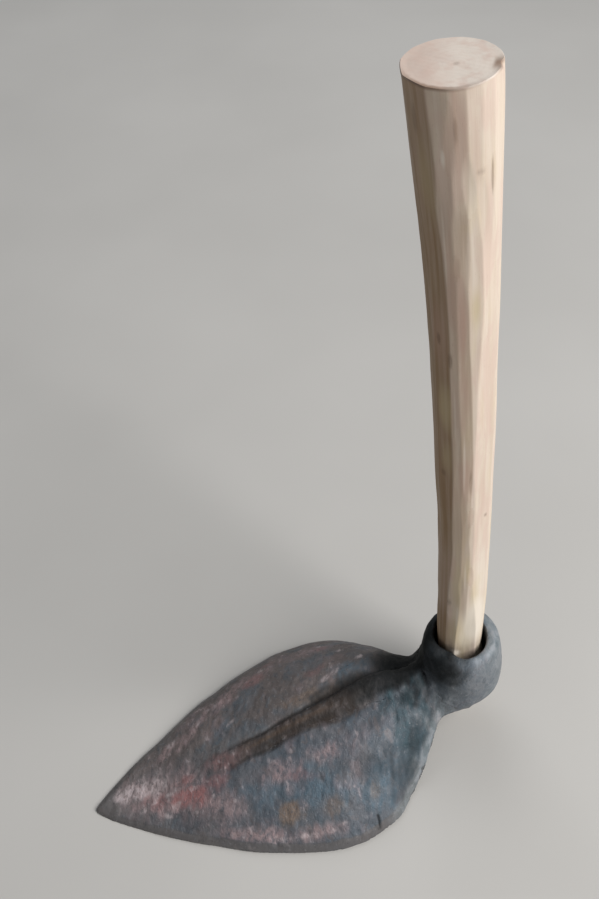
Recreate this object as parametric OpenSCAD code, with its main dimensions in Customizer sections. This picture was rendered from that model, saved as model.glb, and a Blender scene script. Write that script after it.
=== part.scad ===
// Short-handled garden hoe with a forged leaf-shaped head and a whittled stick
// for a handle.  Units are millimetres, +Z is up.  The hoe stands on the cutting
// edge of its blade: the blade points along -X and the handle rises at the +X end.
// The origin is on the ground, under the middle of the whole hoe.

/* [Blade] */
// Reach of the blade along the ground, from the eye's axis to the tip
blade_reach = 269.5; // [240:0.5:300]
// Greatest width across the two lobes
blade_width = 159; // [140:1:175]
// Height of the plate's crest above its cutting edge, at the neck
crest_height = 50; // [46:0.5:54]
// Upright thickness of the plate along its middle
plate_t = 6; // [5:0.5:8]
// Upright thickness of the plate at its cutting edge
edge_t = 3; // [2.5:0.5:4]

/* [Spine] */
// Width of the rib that runs down the middle of the blade
spine_w = 19; // [16:0.5:22]
// How far the rib stands above the plate
spine_h = 5.5; // [4:0.5:7]
// Length of the rib as a share of the blade
spine_share = 0.86; // [0.7:0.02:0.94]

/* [Eye] */
// Outer diameter of the ring at its belly
eye_od = 57; // [55:0.5:59]
// Outer diameter of the ring at its upper rim
eye_top_od = 51; // [49:0.2:53]
// Outer diameter of the ring at its lower rim
eye_low_od = 53.6; // [51:0.2:54]
// Height of the ring along its own axis
eye_h = 54; // [50:0.5:58]
// Height of the ring's lower rim above the ground
eye_lift = 31; // [29:0.5:33]
// Diameter of the hole at its mouth
mouth_d = 34.4; // [33:0.1:35]
// Diameter of the hole where the handle is wedged tight
seat_d = 30; // [29:0.1:31]

/* [Handle] */
// Length of the handle, measured along its axis
handle_len = 465; // [400:1:520]
// Lean of the handle and the eye towards the tip of the blade, in degrees
lean = 5; // [3:0.5:7]
// How far the free end hangs over beyond the eye's own line
overhang = 1; // [0:0.5:4]
// Across the handle where it leaves the eye
shank_d = 29.6; // [28:0.2:30]
// Across the handle at its middle
grip_d = 33; // [31:0.5:35]
// Across the flared free end
butt_d = 40; // [36:0.5:44]
// How far the stick bows away from the blade
bow_x = 8.5; // [0:0.5:12]
// How far the stick bows sideways
bow_y = 8; // [0:1:12]
// How far the handle's lower end stands below the ring
tail = 9; // [6:0.5:12]

/* [Wedge] */
// Thickness of the wedge at its head
wedge_t = 5.5; // [4:0.5:7]
// Length of the wedge
wedge_len = 26; // [20:1:30]
// How far the wedge's head stands out of the handle
wedge_proud = 3; // [1:0.5:5]

/* [Hidden] */

iron = [0.30, 0.30, 0.33];
iron_rib = [0.36, 0.30, 0.28];
iron_eye = [0.33, 0.35, 0.39];
wood = [0.80, 0.71, 0.60];
wood_wedge = [0.66, 0.54, 0.40];

// Where the blade's own stations begin; it runs on a little further into the ring
root = eye_od * 0.345;
inset = 0.024;

// A smooth curve through [station, value] pairs
function slope(p, i) =
    i <= 0 ? (p[1][1] - p[0][1]) / (p[1][0] - p[0][0]) :
    i >= len(p) - 1 ? (p[len(p) - 1][1] - p[len(p) - 2][1]) / (p[len(p) - 1][0] - p[len(p) - 2][0]) :
    (p[i + 1][1] - p[i - 1][1]) / (p[i + 1][0] - p[i - 1][0]);
function piece(p, u, i = 0) = (i >= len(p) - 2 || u < p[i + 1][0]) ? i : piece(p, u, i + 1);
function cubic(a, b, ma, mb, t) =
    (2 * t * t * t - 3 * t * t + 1) * a + (t * t * t - 2 * t * t + t) * ma
    + (3 * t * t - 2 * t * t * t) * b + (t * t * t - t * t) * mb;
function through(p, u) =
    let (i = piece(p, u), d = p[i + 1][0] - p[i][0], t = (u - p[i][0]) / d)
    cubic(p[i][1], p[i + 1][1], slope(p, i) * d, slope(p, i + 1) * d, t);

// ---- the blade's form, at a share u of the way from the neck (0) to the tip (1)

// Half the width, as a share of the greatest
outline = [[-0.03, 0.30], [0, 0.32], [0.04, 0.335], [0.08, 0.475], [0.12, 0.64], [0.17, 0.79], [0.24, 0.93],
           [0.35, 1], [0.46, 0.94], [0.60, 0.79], [0.70, 0.635], [0.80, 0.455], [0.90, 0.267],
           [0.96, 0.135], [1, 0.02]];
// Height of the lower edge, as a share of the ring's height above the ground
edge_rise = [[-0.03, 1.12], [0, 1.02], [0.04, 0.78], [0.08, 0.50], [0.12, 0.22], [0.155, 0.03], [0.18, 0], [0.3, 0], [1, 0]];
// Height of the plate's crest
crest = [[-0.03, 1], [0, 1], [0.12, 0.97], [0.24, 0.90], [0.36, 0.80], [0.48, 0.67], [0.60, 0.52],
         [0.72, 0.34], [0.84, 0.165], [0.92, 0.10], [1, 0.065]];
// Thickness along the middle, as a share of plate_t
body = [[-0.03, 2.1], [0, 2.1], [0.06, 1.9], [0.14, 1.25], [0.24, 1.05], [0.8, 1], [0.94, 0.75], [1, 0.5]];
// Half the width of the rib, as a share of the greatest
rib_wide = [[-0.03, 1.4], [0, 1.35], [0.06, 1.2], [0.14, 1.05], [0.3, 1], [0.55, 0.95], [0.75, 0.75], [1, 0.4]];
// Height of the rib
rib_high = [[0, 1], [0.3, 1], [0.5, 0.95], [0.7, 0.65], [0.85, 0.3], [1, 0.12]];
// Sideways wander of the hand-forged shoulders
wander = [[-0.03, 0], [0, 0], [0.10, 1], [0.17, 4], [0.22, 3], [0.30, 0.6], [0.38, 0], [0.9, 0.2], [1, 1]];

function at_x(u) = eye_x - (root + u * (blade_reach - root));
function half(u) = through(outline, u) * blade_width / 2;
function edge(u) = max(0, through(edge_rise, u)) * eye_lift;
function top(u) = through(crest, u) * crest_height;
function rib_half(u) = min(through(rib_wide, u) * spine_w / 2, half(u) * 0.6);
function shift(u) = through(wander, u);

// Fall of the plate from its crest (1) to its edge (0), a share t out from the middle
function fall(t) = 1 - pow(abs(t), 2.2);

// Columns across the blade: rib_n on each half of the rib, lobe_n on each lobe
rib_n = 3;
lobe_n = 9;
cols = rib_n + lobe_n;
function across(u, c) =
    let (a = abs(c), y = a <= rib_n ? rib_half(u) * a / rib_n
                       : rib_half(u) + (half(u) - rib_half(u)) * (a - rib_n) / lobe_n)
    sign(c) * y;
function upper(u, c) =
    let (g = fall(across(u, c) / half(u))) edge(u) + edge_t * min(1, top(u) / 8) + (top(u) - edge(u) - edge_t * min(1, top(u) / 8)) * g;
function lower(u, c) =
    let (g = fall(across(u, c) / half(u))) edge(u) + max(0, top(u) - plate_t * through(body, u) - edge(u)) * g;

rows = 46;
// Stations crowd towards the neck, where the form changes fastest
function station(i) = let (q = i / rows) (1 + inset) * q * (0.45 + 0.55 * q) - inset;
function up_pt(i, c) = let (u = station(i)) [at_x(u), across(u, c) + shift(u), upper(u, c)];
function low_pt(i, c) = let (u = station(i)) [at_x(u), across(u, c) + shift(u), lower(u, c)];

// A slab between two grids of points, n rows by m columns, all split the same way
module slab(lid, floor_pts, n, m) {
    k = n * m;
    function at(i, j) = i * m + j;
    polyhedron(points = concat(lid, floor_pts), faces = concat(
        [for (i = [0:n - 2], j = [0:m - 2]) [at(i + 1, j + 1), at(i, j + 1), at(i, j)]],
        [for (i = [0:n - 2], j = [0:m - 2]) [at(i + 1, j), at(i + 1, j + 1), at(i, j)]],
        [for (i = [0:n - 2], j = [0:m - 2]) [k + at(i, j + 1), k + at(i + 1, j + 1), k + at(i, j)]],
        [for (i = [0:n - 2], j = [0:m - 2]) [k + at(i + 1, j + 1), k + at(i + 1, j), k + at(i, j)]],
        [for (i = [0:n - 2]) [k + at(i, 0), at(i + 1, 0), at(i, 0)]],
        [for (i = [0:n - 2]) [k + at(i, 0), k + at(i + 1, 0), at(i + 1, 0)]],
        [for (i = [0:n - 2]) [at(i + 1, m - 1), k + at(i, m - 1), at(i, m - 1)]],
        [for (i = [0:n - 2]) [k + at(i + 1, m - 1), k + at(i, m - 1), at(i + 1, m - 1)]],
        [for (j = [0:m - 2]) [at(0, j + 1), k + at(0, j), at(0, j)]],
        [for (j = [0:m - 2]) [k + at(0, j + 1), k + at(0, j), at(0, j + 1)]],
        [for (j = [0:m - 2]) [k + at(n - 1, j), at(n - 1, j + 1), at(n - 1, j)]],
        [for (j = [0:m - 2]) [k + at(n - 1, j), k + at(n - 1, j + 1), at(n - 1, j + 1)]]
    ));
}

// ---- the eye

// Stands a thing that was drawn about the Z axis on the leaning axis of the eye
module on_axis() { translate([eye_x, 0, 0]) rotate([0, -lean, 0]) children(); }

// Outer wall of the ring: a barrel with rounded rims
rim_round = 4;
function belly(h) = let (v = h / eye_h, rim = (eye_low_od * (1 - v) + eye_top_od * v) / 2)
    rim + (eye_od / 2 - (eye_low_od + eye_top_od) / 4) * sin(180 * v);
wall = concat(
    [for (a = [-90:22.5:0]) [belly(rim_round) - rim_round + rim_round * cos(a), rim_round + rim_round * sin(a)]],
    [for (i = [1:7]) let (h = rim_round + (eye_h - 2 * rim_round) * i / 8) [belly(h), h]],
    [for (a = [0:22.5:90]) [belly(eye_h - rim_round) - rim_round + rim_round * cos(a), eye_h - rim_round + rim_round * sin(a)]]
);

// Where the eye's axis meets the ground.  The ring's belly is the furthest thing
// along +X, so this puts the origin under the middle of the hoe.
belly_x = max([for (p = wall) p[0] * cos(lean) - (eye_lift + p[1]) * sin(lean)]);
eye_x = (blade_reach - belly_x) / 2;

module eye_blank() {
    on_axis() translate([0, 0, eye_lift]) rotate_extrude($fn = 96) polygon(concat([[0, 0]], wall, [[0, eye_h]]));
}

// The hole narrows from its worn mouth to the seat that grips the handle
seat_h = 18;
module eye_ring() {
    color(iron_eye) on_axis() translate([0, 0, eye_lift]) rotate_extrude($fn = 96)
        polygon(concat([[seat_d / 2, 0]], wall,
            [[mouth_d / 2 + 1, eye_h], [mouth_d / 2, eye_h - 1.5], [mouth_d / 2, seat_h + 8], [seat_d / 2, seat_h]]));
}

// ---- the head

module blade() {
    color(iron) difference() {
        slab([for (i = [0:rows], c = [-cols:cols]) up_pt(i, c)],
             [for (i = [0:rows], c = [-cols:cols]) low_pt(i, c)], rows + 1, 2 * cols + 1);
        eye_blank();
    }
}

// The rib lies on the plate: its underside follows the plate's own upper face
spine_rows = ceil(spine_share * rows);
function rib_pt(i, c) =
    let (u = station(i), p = up_pt(i, c), v = i / spine_rows, t = abs(c) / rib_n)
    [p[0], p[1], p[2] + 0.6 + (spine_h * through(rib_high, v) - 0.6) * (1 - pow(t, 2.5))];

module spine() {
    color(iron_rib) difference() {
        slab([for (i = [0:spine_rows], c = [-rib_n:rib_n]) rib_pt(i, c)],
             [for (i = [0:spine_rows], c = [-rib_n:rib_n]) up_pt(i, c)], spine_rows + 1, 2 * rib_n + 1);
        eye_blank();
    }
}

// ---- the handle

tail_h = eye_lift - tail;
seat_top = eye_lift + seat_h;
butt_h = tail_h + handle_len;

// Wedge and kerf share one outline, so the wedge fills the cut it is driven into
function wedge_half(h) = max(0.6, wedge_t / 2 * (1 - h / (wedge_len + wedge_proud) * 0.8));
module wedge_outline(low, high) {
    polygon([[-wedge_half(low), low], [wedge_half(low), low], [wedge_half(high), high], [-wedge_half(high), high]]);
}
module cleft(low, high, wide) {
    on_axis() translate([0, 0, tail_h - wedge_proud]) rotate([90, 0, 0])
        linear_extrude(wide, center = true) wedge_outline(low, high);
}

// The stick is whittled to flats, sides of them, and flares towards the butt
sides = 11;
thick = [[0, shank_d], [0.33, (shank_d + grip_d) / 2], [0.55, grip_d], [0.75, (2 * grip_d + butt_d) / 3], [1, butt_d]];
stick_rows = 18;
function stick_pt(i, k) =
    let (v = i / stick_rows, h = seat_top + v * (butt_h - seat_top), a = 360 * (k + 0.5) / sides,
         w = (h - 60) / (butt_h - 60), arc = 4 * max(0, w) * (1 - w),
         r = through(thick, v) / 2 * (1 + 0.02 * sin(2 * a + 40) + 0.015 * sin(3 * a + 200 * v)) / cos(60 / sides))
    [bow_x * arc - overhang * max(0, w) + r * cos(a), bow_y * arc + r * sin(a), h];

module stick() {
    n = stick_rows + 1;
    on_axis() polyhedron(
        points = [for (i = [0:stick_rows], k = [0:sides - 1]) stick_pt(i, k)],
        faces = concat(
            [[for (k = [0:sides - 1]) k]],
            [[for (k = [sides - 1:-1:0]) (n - 1) * sides + k]],
            [for (i = [0:n - 2], k = [0:sides - 1]) [i * sides + k, (i + 1) * sides + k, (i + 1) * sides + (k + 1) % sides]],
            [for (i = [0:n - 2], k = [0:sides - 1]) [i * sides + k, (i + 1) * sides + (k + 1) % sides, i * sides + (k + 1) % sides]]
        ));
}

module handle() {
    color(wood) difference() {
        union() {
            stick();
            on_axis() translate([0, 0, tail_h]) cylinder(h = seat_top - tail_h, d = seat_d, $fn = 96);
        }
        cleft(0, wedge_len, seat_d + 20);
    }
}

module handle_wedge() {
    color(wood_wedge) intersection() {
        cleft(0, wedge_len, seat_d);
        on_axis() cylinder(h = seat_top, d = seat_d, $fn = 96);
    }
}

blade();
spine();
eye_ring();
handle();
handle_wedge();
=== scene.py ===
"""Looks of a short garden hoe: forged leaf-shaped head on a whittled stick."""
import math

import bmesh
import bpy
import numpy as np
from mathutils import Matrix, Vector


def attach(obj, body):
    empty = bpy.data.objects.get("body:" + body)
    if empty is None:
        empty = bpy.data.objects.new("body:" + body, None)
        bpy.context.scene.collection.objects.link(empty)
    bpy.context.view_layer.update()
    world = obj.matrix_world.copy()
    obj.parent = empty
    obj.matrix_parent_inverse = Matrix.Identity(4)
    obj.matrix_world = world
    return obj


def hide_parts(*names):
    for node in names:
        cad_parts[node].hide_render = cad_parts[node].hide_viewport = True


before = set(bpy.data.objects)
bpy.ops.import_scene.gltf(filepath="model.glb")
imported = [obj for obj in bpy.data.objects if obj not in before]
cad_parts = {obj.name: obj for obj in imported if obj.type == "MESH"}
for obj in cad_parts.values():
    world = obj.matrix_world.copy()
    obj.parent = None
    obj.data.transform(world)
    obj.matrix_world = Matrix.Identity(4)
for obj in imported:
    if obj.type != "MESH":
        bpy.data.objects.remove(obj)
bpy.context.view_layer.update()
scene = bpy.context.scene

# ======================================================================
# Form of the iron head, in millimetres, in the frame's own axes
# ======================================================================

REACH, WIDE, CREST, PLATE, EDGE = 269.5, 159.0, 50.0, 6.0, 3.0
RIB_W, RIB_H = 19.0, 5.5
EYE_OD, EYE_TOP, EYE_LOW, EYE_H, LIFT = 57.0, 51.0, 53.6, 54.0, 31.0
MOUTH, SEAT, SEAT_H, RIM = 34.4, 30.0, 18.0, 4.0
LEAN = math.radians(5.0)
ROOT = EYE_OD * 0.345
INSET = 0.024
SL, CL = math.sin(LEAN), math.cos(LEAN)


def curve(pairs):
    """A smooth curve through (station, value) pairs, flat beyond its ends."""
    p = np.array(pairs, float)
    X, Y = p[:, 0], p[:, 1]
    m = np.empty(len(X))
    m[1:-1] = (Y[2:] - Y[:-2]) / (X[2:] - X[:-2])
    m[0] = (Y[1] - Y[0]) / (X[1] - X[0])
    m[-1] = (Y[-1] - Y[-2]) / (X[-1] - X[-2])

    def f(u):
        u = np.clip(np.asarray(u, float), X[0], X[-1])
        i = np.clip(np.searchsorted(X, u, side="right") - 1, 0, len(X) - 2)
        d = X[i + 1] - X[i]
        t = (u - X[i]) / d
        t2, t3 = t * t, t * t * t
        return ((2 * t3 - 3 * t2 + 1) * Y[i] + (t3 - 2 * t2 + t) * m[i] * d
                + (3 * t2 - 2 * t3) * Y[i + 1] + (t3 - t2) * m[i + 1] * d)

    return f


outline = curve([(-0.03, 0.30), (0, 0.32), (0.04, 0.335), (0.08, 0.475), (0.12, 0.64), (0.17, 0.79), (0.24, 0.93),
                 (0.35, 1), (0.46, 0.94), (0.60, 0.79), (0.70, 0.635), (0.80, 0.455), (0.90, 0.267),
                 (0.96, 0.135), (1, 0.02)])
edge_rise = curve([(-0.03, 1.12), (0, 1.02), (0.04, 0.78), (0.08, 0.50), (0.12, 0.22), (0.155, 0.03), (0.18, 0),
                   (0.3, 0), (1, 0)])
crest = curve([(-0.03, 1), (0, 1), (0.12, 0.97), (0.24, 0.90), (0.36, 0.80), (0.48, 0.67), (0.60, 0.52),
               (0.72, 0.34), (0.84, 0.165), (0.92, 0.10), (1, 0.065)])
body = curve([(-0.03, 2.1), (0, 2.1), (0.06, 1.9), (0.14, 1.25), (0.24, 1.05), (0.8, 1), (0.94, 0.75), (1, 0.5)])
rib_wide = curve([(-0.03, 1.4), (0, 1.35), (0.06, 1.2), (0.14, 1.05), (0.3, 1), (0.55, 0.95), (0.75, 0.75), (1, 0.4)])
rib_high = curve([(0, 1), (0.3, 1), (0.45, 0.92), (0.56, 0.64), (0.64, 0.38), (0.75, 0.18), (0.87, 0.06), (1, 0.0)])
wander = curve([(-0.03, 0), (0, 0), (0.10, 1), (0.17, 4), (0.22, 3), (0.30, 0.6), (0.38, 0), (0.9, 0.2), (1, 1)])
near_edge = curve([(0, 0), (0.08, 0.1), (0.10, -1.1), (0.13, -1.1), (0.16, -0.4), (0.18, 0.5), (0.22, 1.1), (0.25, 0.3),
                   (0.28, -0.6), (0.32, -0.8), (0.38, -0.3), (0.45, 0.3), (0.55, 0.2), (0.65, 0.6), (0.70, 0.2),
                   (0.78, 0.8), (0.85, 0.2), (0.90, -0.4), (0.95, -0.4), (1, 0)])
far_edge = curve([(0, 2.4), (0.03, 2.2), (0.05, 1.2), (0.07, 0.7), (0.09, 1.0), (0.12, 2.6), (0.15, 2.4), (0.18, 2.0),
                  (0.22, 0.7), (0.28, 0.5), (0.32, -0.5), (0.36, -1.1), (0.40, -0.7), (0.45, -1.1), (0.55, -1.0),
                  (0.60, -1.5), (0.66, -0.5), (0.70, -0.5), (0.77, -1.2), (0.80, -1.2), (0.86, -0.4), (0.95, -0.5), (1, 0.2)])
groove_deep = curve([(-0.03, 0.2), (0.03, 0.8), (0.10, 1.3), (0.3, 1.5), (0.48, 1.3), (0.6, 0.85), (0.70, 0.25), (0.80, 0)])


def belly(h):
    v = h / EYE_H
    return (EYE_LOW * (1 - v) + EYE_TOP * v) / 2 + (EYE_OD / 2 - (EYE_LOW + EYE_TOP) / 4) * np.sin(math.pi * np.clip(v, 0, 1))


_h = np.linspace(RIM, EYE_H - RIM, 9)
EYE_X = (REACH - float(np.max(belly(_h) * CL - (LIFT + _h) * SL))) / 2


def station(x):
    return ((EYE_X - x) - ROOT) / (REACH - ROOT)


def smoothstep(a, b, x):
    t = np.clip((x - a) / (b - a), 0, 1)
    return t * t * (3 - 2 * t)


def smin(a, b, k):
    h = np.maximum(k - np.abs(a - b), 0) / k
    return np.minimum(a, b) - h * h * k * 0.25


def smax(a, b, k):
    h = np.maximum(k - np.abs(a - b), 0) / k
    return np.maximum(a, b) + h * h * k * 0.25


def bump(x, c, w):
    """A smooth hump of height 1 at c, gone at c +- w."""
    t = np.clip(1 - ((x - c) / w) ** 2, 0, 1)
    return t * t


# ---- noise -----------------------------------------------------------

_P = np.random.RandomState(20).permutation(256)
_P = np.concatenate([_P, _P, _P])
_G = np.random.RandomState(21).normal(size=(256, 3))
_G /= np.linalg.norm(_G, axis=1)[:, None]


def noise(x, y, z):
    """Smooth gradient noise, about -0.7 to 0.7, one cell per unit."""
    x, y, z = np.broadcast_arrays(np.asarray(x, float), np.asarray(y, float), np.asarray(z, float))
    i, j, k = np.floor(x).astype(int), np.floor(y).astype(int), np.floor(z).astype(int)
    fx, fy, fz = x - i, y - j, z - k
    wx, wy, wz = [f * f * f * (f * (f * 6 - 15) + 10) for f in (fx, fy, fz)]
    out = np.zeros(x.shape)
    for a in (0, 1):
        for b in (0, 1):
            for c in (0, 1):
                g = _G[_P[_P[_P[(i + a) & 255] + ((j + b) & 255)] + ((k + c) & 255)]]
                d = (fx - a) * g[..., 0] + (fy - b) * g[..., 1] + (fz - c) * g[..., 2]
                out += d * (wx if a else 1 - wx) * (wy if b else 1 - wy) * (wz if c else 1 - wz)
    return out


def dimples(x, y, z, seed, fill=1.0):
    """Distance to the nearest of a set of jittered points, one per unit cell: (distance, that point's own random 0..1)."""
    i, j, k = np.floor(x).astype(int), np.floor(y).astype(int), np.floor(z).astype(int)
    r = np.random.RandomState(seed).rand(256, 4)
    best, own = np.full(x.shape, 9.0), np.zeros(x.shape)
    for a in (-1, 0, 1):
        for b in (-1, 0, 1):
            for c in (-1, 0, 1):
                q = _P[_P[_P[(i + a) & 255] + ((j + b) & 255)] + ((k + c) & 255)]
                v = r[q]
                d = np.sqrt((i + a + v[..., 0] - x) ** 2 + (j + b + v[..., 1] - y) ** 2 + (k + c + v[..., 2] - z) ** 2)
                d = np.where(v[..., 3] > fill, 9.0, d)
                near = d < best
                best, own = np.where(near, d, best), np.where(near, v[..., 3], own)
    return best, own


# ---- the head's fields: negative inside ------------------------------

def half_width(u, yy):
    """Half the plate's width on that side of the middle, with the hand-forged unevenness of each edge."""
    s = smoothstep(-6, 6, yy)
    return outline(u) * WIDE / 2 + near_edge(u) * (1 - s) + far_edge(u) * s + 0.45 * smoothstep(0.02, 0.2, u)


def plate(x, y):
    """Everything about the plate that depends on the plan only."""
    u = station(x)
    yy = y - wander(u)
    hw = half_width(u, yy)
    t = np.abs(yy) / hw
    g = np.where(t < 1, 1 - t ** 2.2, -2.2 * (t - 1))
    low = np.maximum(0, edge_rise(u)) * LIFT
    top = crest(u) * CREST
    e = EDGE * np.minimum(1, top / 8)
    up = low + e + (top - low - e) * g
    dn = low + np.maximum(0, top - PLATE * body(u) - low) * g
    rib = np.minimum(rib_wide(u) * RIB_W / 2, hw * 0.6)
    q = (-0.45 + np.sqrt(np.maximum(0, 0.2025 + 2.2 * (u + INSET) / (1 + INSET)))) / 1.1
    v = q * 46 / 40
    return u, hw, yy, t, up, dn, rib, v


def side_distance(x, y):
    """Signed distance to the plate's outline in plan, first order."""
    u = station(x)
    yy = y - wander(u)
    du = 0.004
    hw = half_width(u, yy)
    s = (half_width(u + du, yy) - half_width(u - du, yy)) / (2 * du) / (REACH - ROOT)
    s = np.where(u > 0.99, 0.9, s)
    d = (np.abs(yy) - hw) / np.sqrt(1 + s * s)
    return smax(d, EYE_X - REACH + 0.2 - x, 3.0)


drift = curve([(0, 0), (0.42, 0), (0.48, 0.6), (0.53, 1.4), (0.58, 2.2), (0.65, 3.0), (0.75, 4.0), (1, 4.0)])
near_share = curve([(-0.03, 1.1), (0, 1.1), (0.24, 1.1), (0.30, 1.0), (0.34, 0.88), (0.375, 0.74), (0.41, 0.68), (0.45, 0.72), (0.49, 0.80),
                    (0.53, 0.80), (0.57, 0.74), (0.60, 0.80), (0.65, 0.95), (1, 1.0)])
far_share = curve([(-0.03, 0.85), (0, 0.9), (0.1, 1.0), (0.23, 1.08), (0.28, 1.10), (0.34, 1.0), (0.40, 0.76), (0.45, 0.66),
                   (0.51, 0.52), (0.56, 0.56), (0.60, 0.64), (0.66, 0.74), (0.75, 0.9), (1, 1.0)])


def across(u, yy, rib):
    """How far across the rib a point is: 0 on its crest, 1 at its foot. The near flank is the longer one."""
    c = yy + 0.9 + drift(u) + 0.5 * noise(u * 13, 0.4, 6.1)
    near = rib * near_share(u) * (1 + 0.8 * smoothstep(0.25, 0.08, u)) * (1 + 0.10 * noise(u * 21, 5.5, 0.2))
    far = rib * far_share(u) * (1 + 0.08 * noise(u * 19, 8.5, 0.9))
    return np.where(c > 0, c / far, -c / near)


def rib_relief(u, yy, rib, v):
    """The rib's height above the plate, with the hammered groove along each foot."""
    t = across(u, yy, rib)
    far = yy > -0.9 - drift(u)
    wob = 0.35 * noise(u * 24, np.where(far, 3.7, -3.7), 0.5)
    peak = np.where(far, np.clip(1 - t ** 1.9, 0, 1) ** 1.15, np.clip(1 - t ** 1.45, 0, 1) ** 1.2)
    h = RIB_H * rib_high(np.clip(v, 0, 1)) * peak * (1 + 0.30 * wob)
    gw = np.where(far, 0.25, 0.30) + 0.08 * noise(u * 17, np.where(far, 2.1, -2.1), 4.5)
    at = np.where(far, 1.12, 1.02) + 0.10 * noise(u * 26, np.where(far, 1.2, -1.2), 8.5)
    share = np.where(far, 0.9 * smoothstep(0.02, 0.16, u) + 0.1, 1.15 * smoothstep(0.18, 0.30, u))
    dip = share * groove_deep(u) * (1 + 0.8 * noise(u * 30, np.where(far, 1.9, -1.9), 2.5)) * np.exp(-((t - at) / gw) ** 2)
    return h - dip


def ring_axes(x, y, z):
    """Coordinates about the eye's own leaning axis."""
    dx = x - EYE_X
    return dx * CL + z * SL, y, -dx * SL + z * CL


def plate_field(x, y, z, plan=None):
    if plan is None:
        u, hw, yy, t, up, dn, rib, v = plate(x, y)
        d = 0.5
        px, py = plate(x + d, y), plate(x, y + d)
        su = np.sqrt(1 + ((px[4] - up) / d) ** 2 + ((py[4] - up) / d) ** 2)
        sd = np.sqrt(1 + ((px[5] - dn) / d) ** 2 + ((py[5] - dn) / d) ** 2)
        side = side_distance(x, y)
        rel = rib_relief(u, yy, rib, v)
    else:
        u, up, dn, su, sd, side, rel = plan
    bevel = 1.0 * smoothstep(-4.2, 0.3, side) * smoothstep(0.10, 0.2, u)
    over = (z - (up + rel - bevel)) / su
    under = (dn - z) / sd
    f = smax(over, side, 1.6)
    f = smax(f, under, 0.7)
    cap = x - (EYE_X - ROOT + 8)
    return np.maximum(f, cap)


def ring_field(x, y, z):
    """(outer body, hole), each negative inside."""
    a, b, h = ring_axes(x, y, z)
    h = h - LIFT
    r = np.hypot(a, b)
    th = np.arctan2(b, a)
    # hand-forged: not quite round, the walls a little uneven
    uneven = 0.35 * noise(np.cos(th) * 1.3 + 7, np.sin(th) * 1.3, h / 22) - 0.25
    far_left = bump(th, math.radians(128), math.radians(62))
    out = belly(np.clip(h, 0, EYE_H)) + uneven - 1.9 * far_left * smoothstep(18, 48, h)
    neckward = np.maximum(0, np.cos(th - math.radians(-138)))
    top = EYE_H + 0.25 * noise(np.cos(th) * 1.5, np.sin(th) * 1.5, 3.3) - 0.25
    f = smax(r - out, h - top, 6.5)
    f = smax(f, -h, 6.0)
    # the hole: oval at its mouth, narrowing to the wood, with a lump on the side of the neck
    oval = 1 / np.sqrt((np.cos(th) / 16.6) ** 2 + (np.sin(th) / 18.7) ** 2)
    lump = 3.0 * neckward ** 6 * smoothstep(24, 50, h)
    rin = oval - lump + 0.25 * noise(np.cos(th) * 2, np.sin(th) * 2, h / 9)
    deep = smoothstep(30, 16, h)
    rin = rin * (1 - deep) + 15.3 * deep
    mouth = rin + (0.9 + 1.9 * neckward ** 2) * smoothstep(EYE_H - 4.5, EYE_H + 0.5, h) ** 2
    hole = r - mouth
    return f, hole


def head_field(x, y, z, plan=None, near_ring=True):
    """The whole head, welded: negative inside."""
    f = plate_field(x, y, z, plan)
    if not near_ring:
        return f
    ring, hole = ring_field(x, y, z)
    a, b, h = ring_axes(x, y, z)
    k = 9.0 + 5.0 * smoothstep(-10, 15, y)
    f = smin(f, ring, k)
    return smax(f, -hole, 1.1)

def surface_net(F, x0, y0, z0, step):
    """Vertices and quads of the zero surface of the grid F[i, j, k], one vertex per cell the surface crosses."""
    ins = F < 0
    c = ins[:-1, :-1, :-1].astype(np.int8)
    corners = [(a, b, d) for a in (0, 1) for b in (0, 1) for d in (0, 1)]
    s = np.zeros(c.shape, np.int8)
    nx, ny, nz = F.shape
    for a, b, d in corners:
        s += ins[a:nx - 1 + a, b:ny - 1 + b, d:nz - 1 + d]
    I, J, K = np.nonzero((s > 0) & (s < 8))
    ids = np.full(c.shape, -1, np.int64)
    ids[I, J, K] = np.arange(len(I))
    val = {q: F[I + q[0], J + q[1], K + q[2]].astype(float) for q in corners}
    acc, n = np.zeros((len(I), 3)), np.zeros(len(I))
    for p in corners:
        for ax in range(3):
            if p[ax] == 0:
                q = list(p)
                q[ax] = 1
                a, b = val[p], val[tuple(q)]
                cross = (a < 0) != (b < 0)
                t = np.where(cross, a / np.where(cross, a - b, 1), 0)
                for m in range(3):
                    acc[:, m] += np.where(cross, (t if m == ax else p[m]), 0)
                n += cross
    V = acc / n[:, None] + np.stack([I, J, K], 1)
    V = V * step + np.array([x0, y0, z0])
    quads = []
    for ax in range(3):
        o1, o2 = [(1, 2), (2, 0), (0, 1)][ax]
        sl = [slice(1, -1)] * 3
        lo, hi = list(sl), list(sl)
        lo[ax], hi[ax] = slice(0, -1), slice(1, None)
        a, b = ins[tuple(lo)], ins[tuple(hi)]
        P = np.stack(np.nonzero(a != b), 1)
        for m in range(3):
            if m != ax:
                P[:, m] += 1
        e1, e2 = np.zeros(3, int), np.zeros(3, int)
        e1[o1], e2[o2] = 1, 1
        q = [ids[tuple((P - d).T)] for d in (np.zeros(3, int), e1, e1 + e2, e2)]
        out = ins[tuple(P.T)]
        quad = np.stack(q, 1)
        quad = np.where(out[:, None], quad, quad[:, ::-1])
        quads.append(quad)
    return V, np.concatenate(quads)


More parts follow.
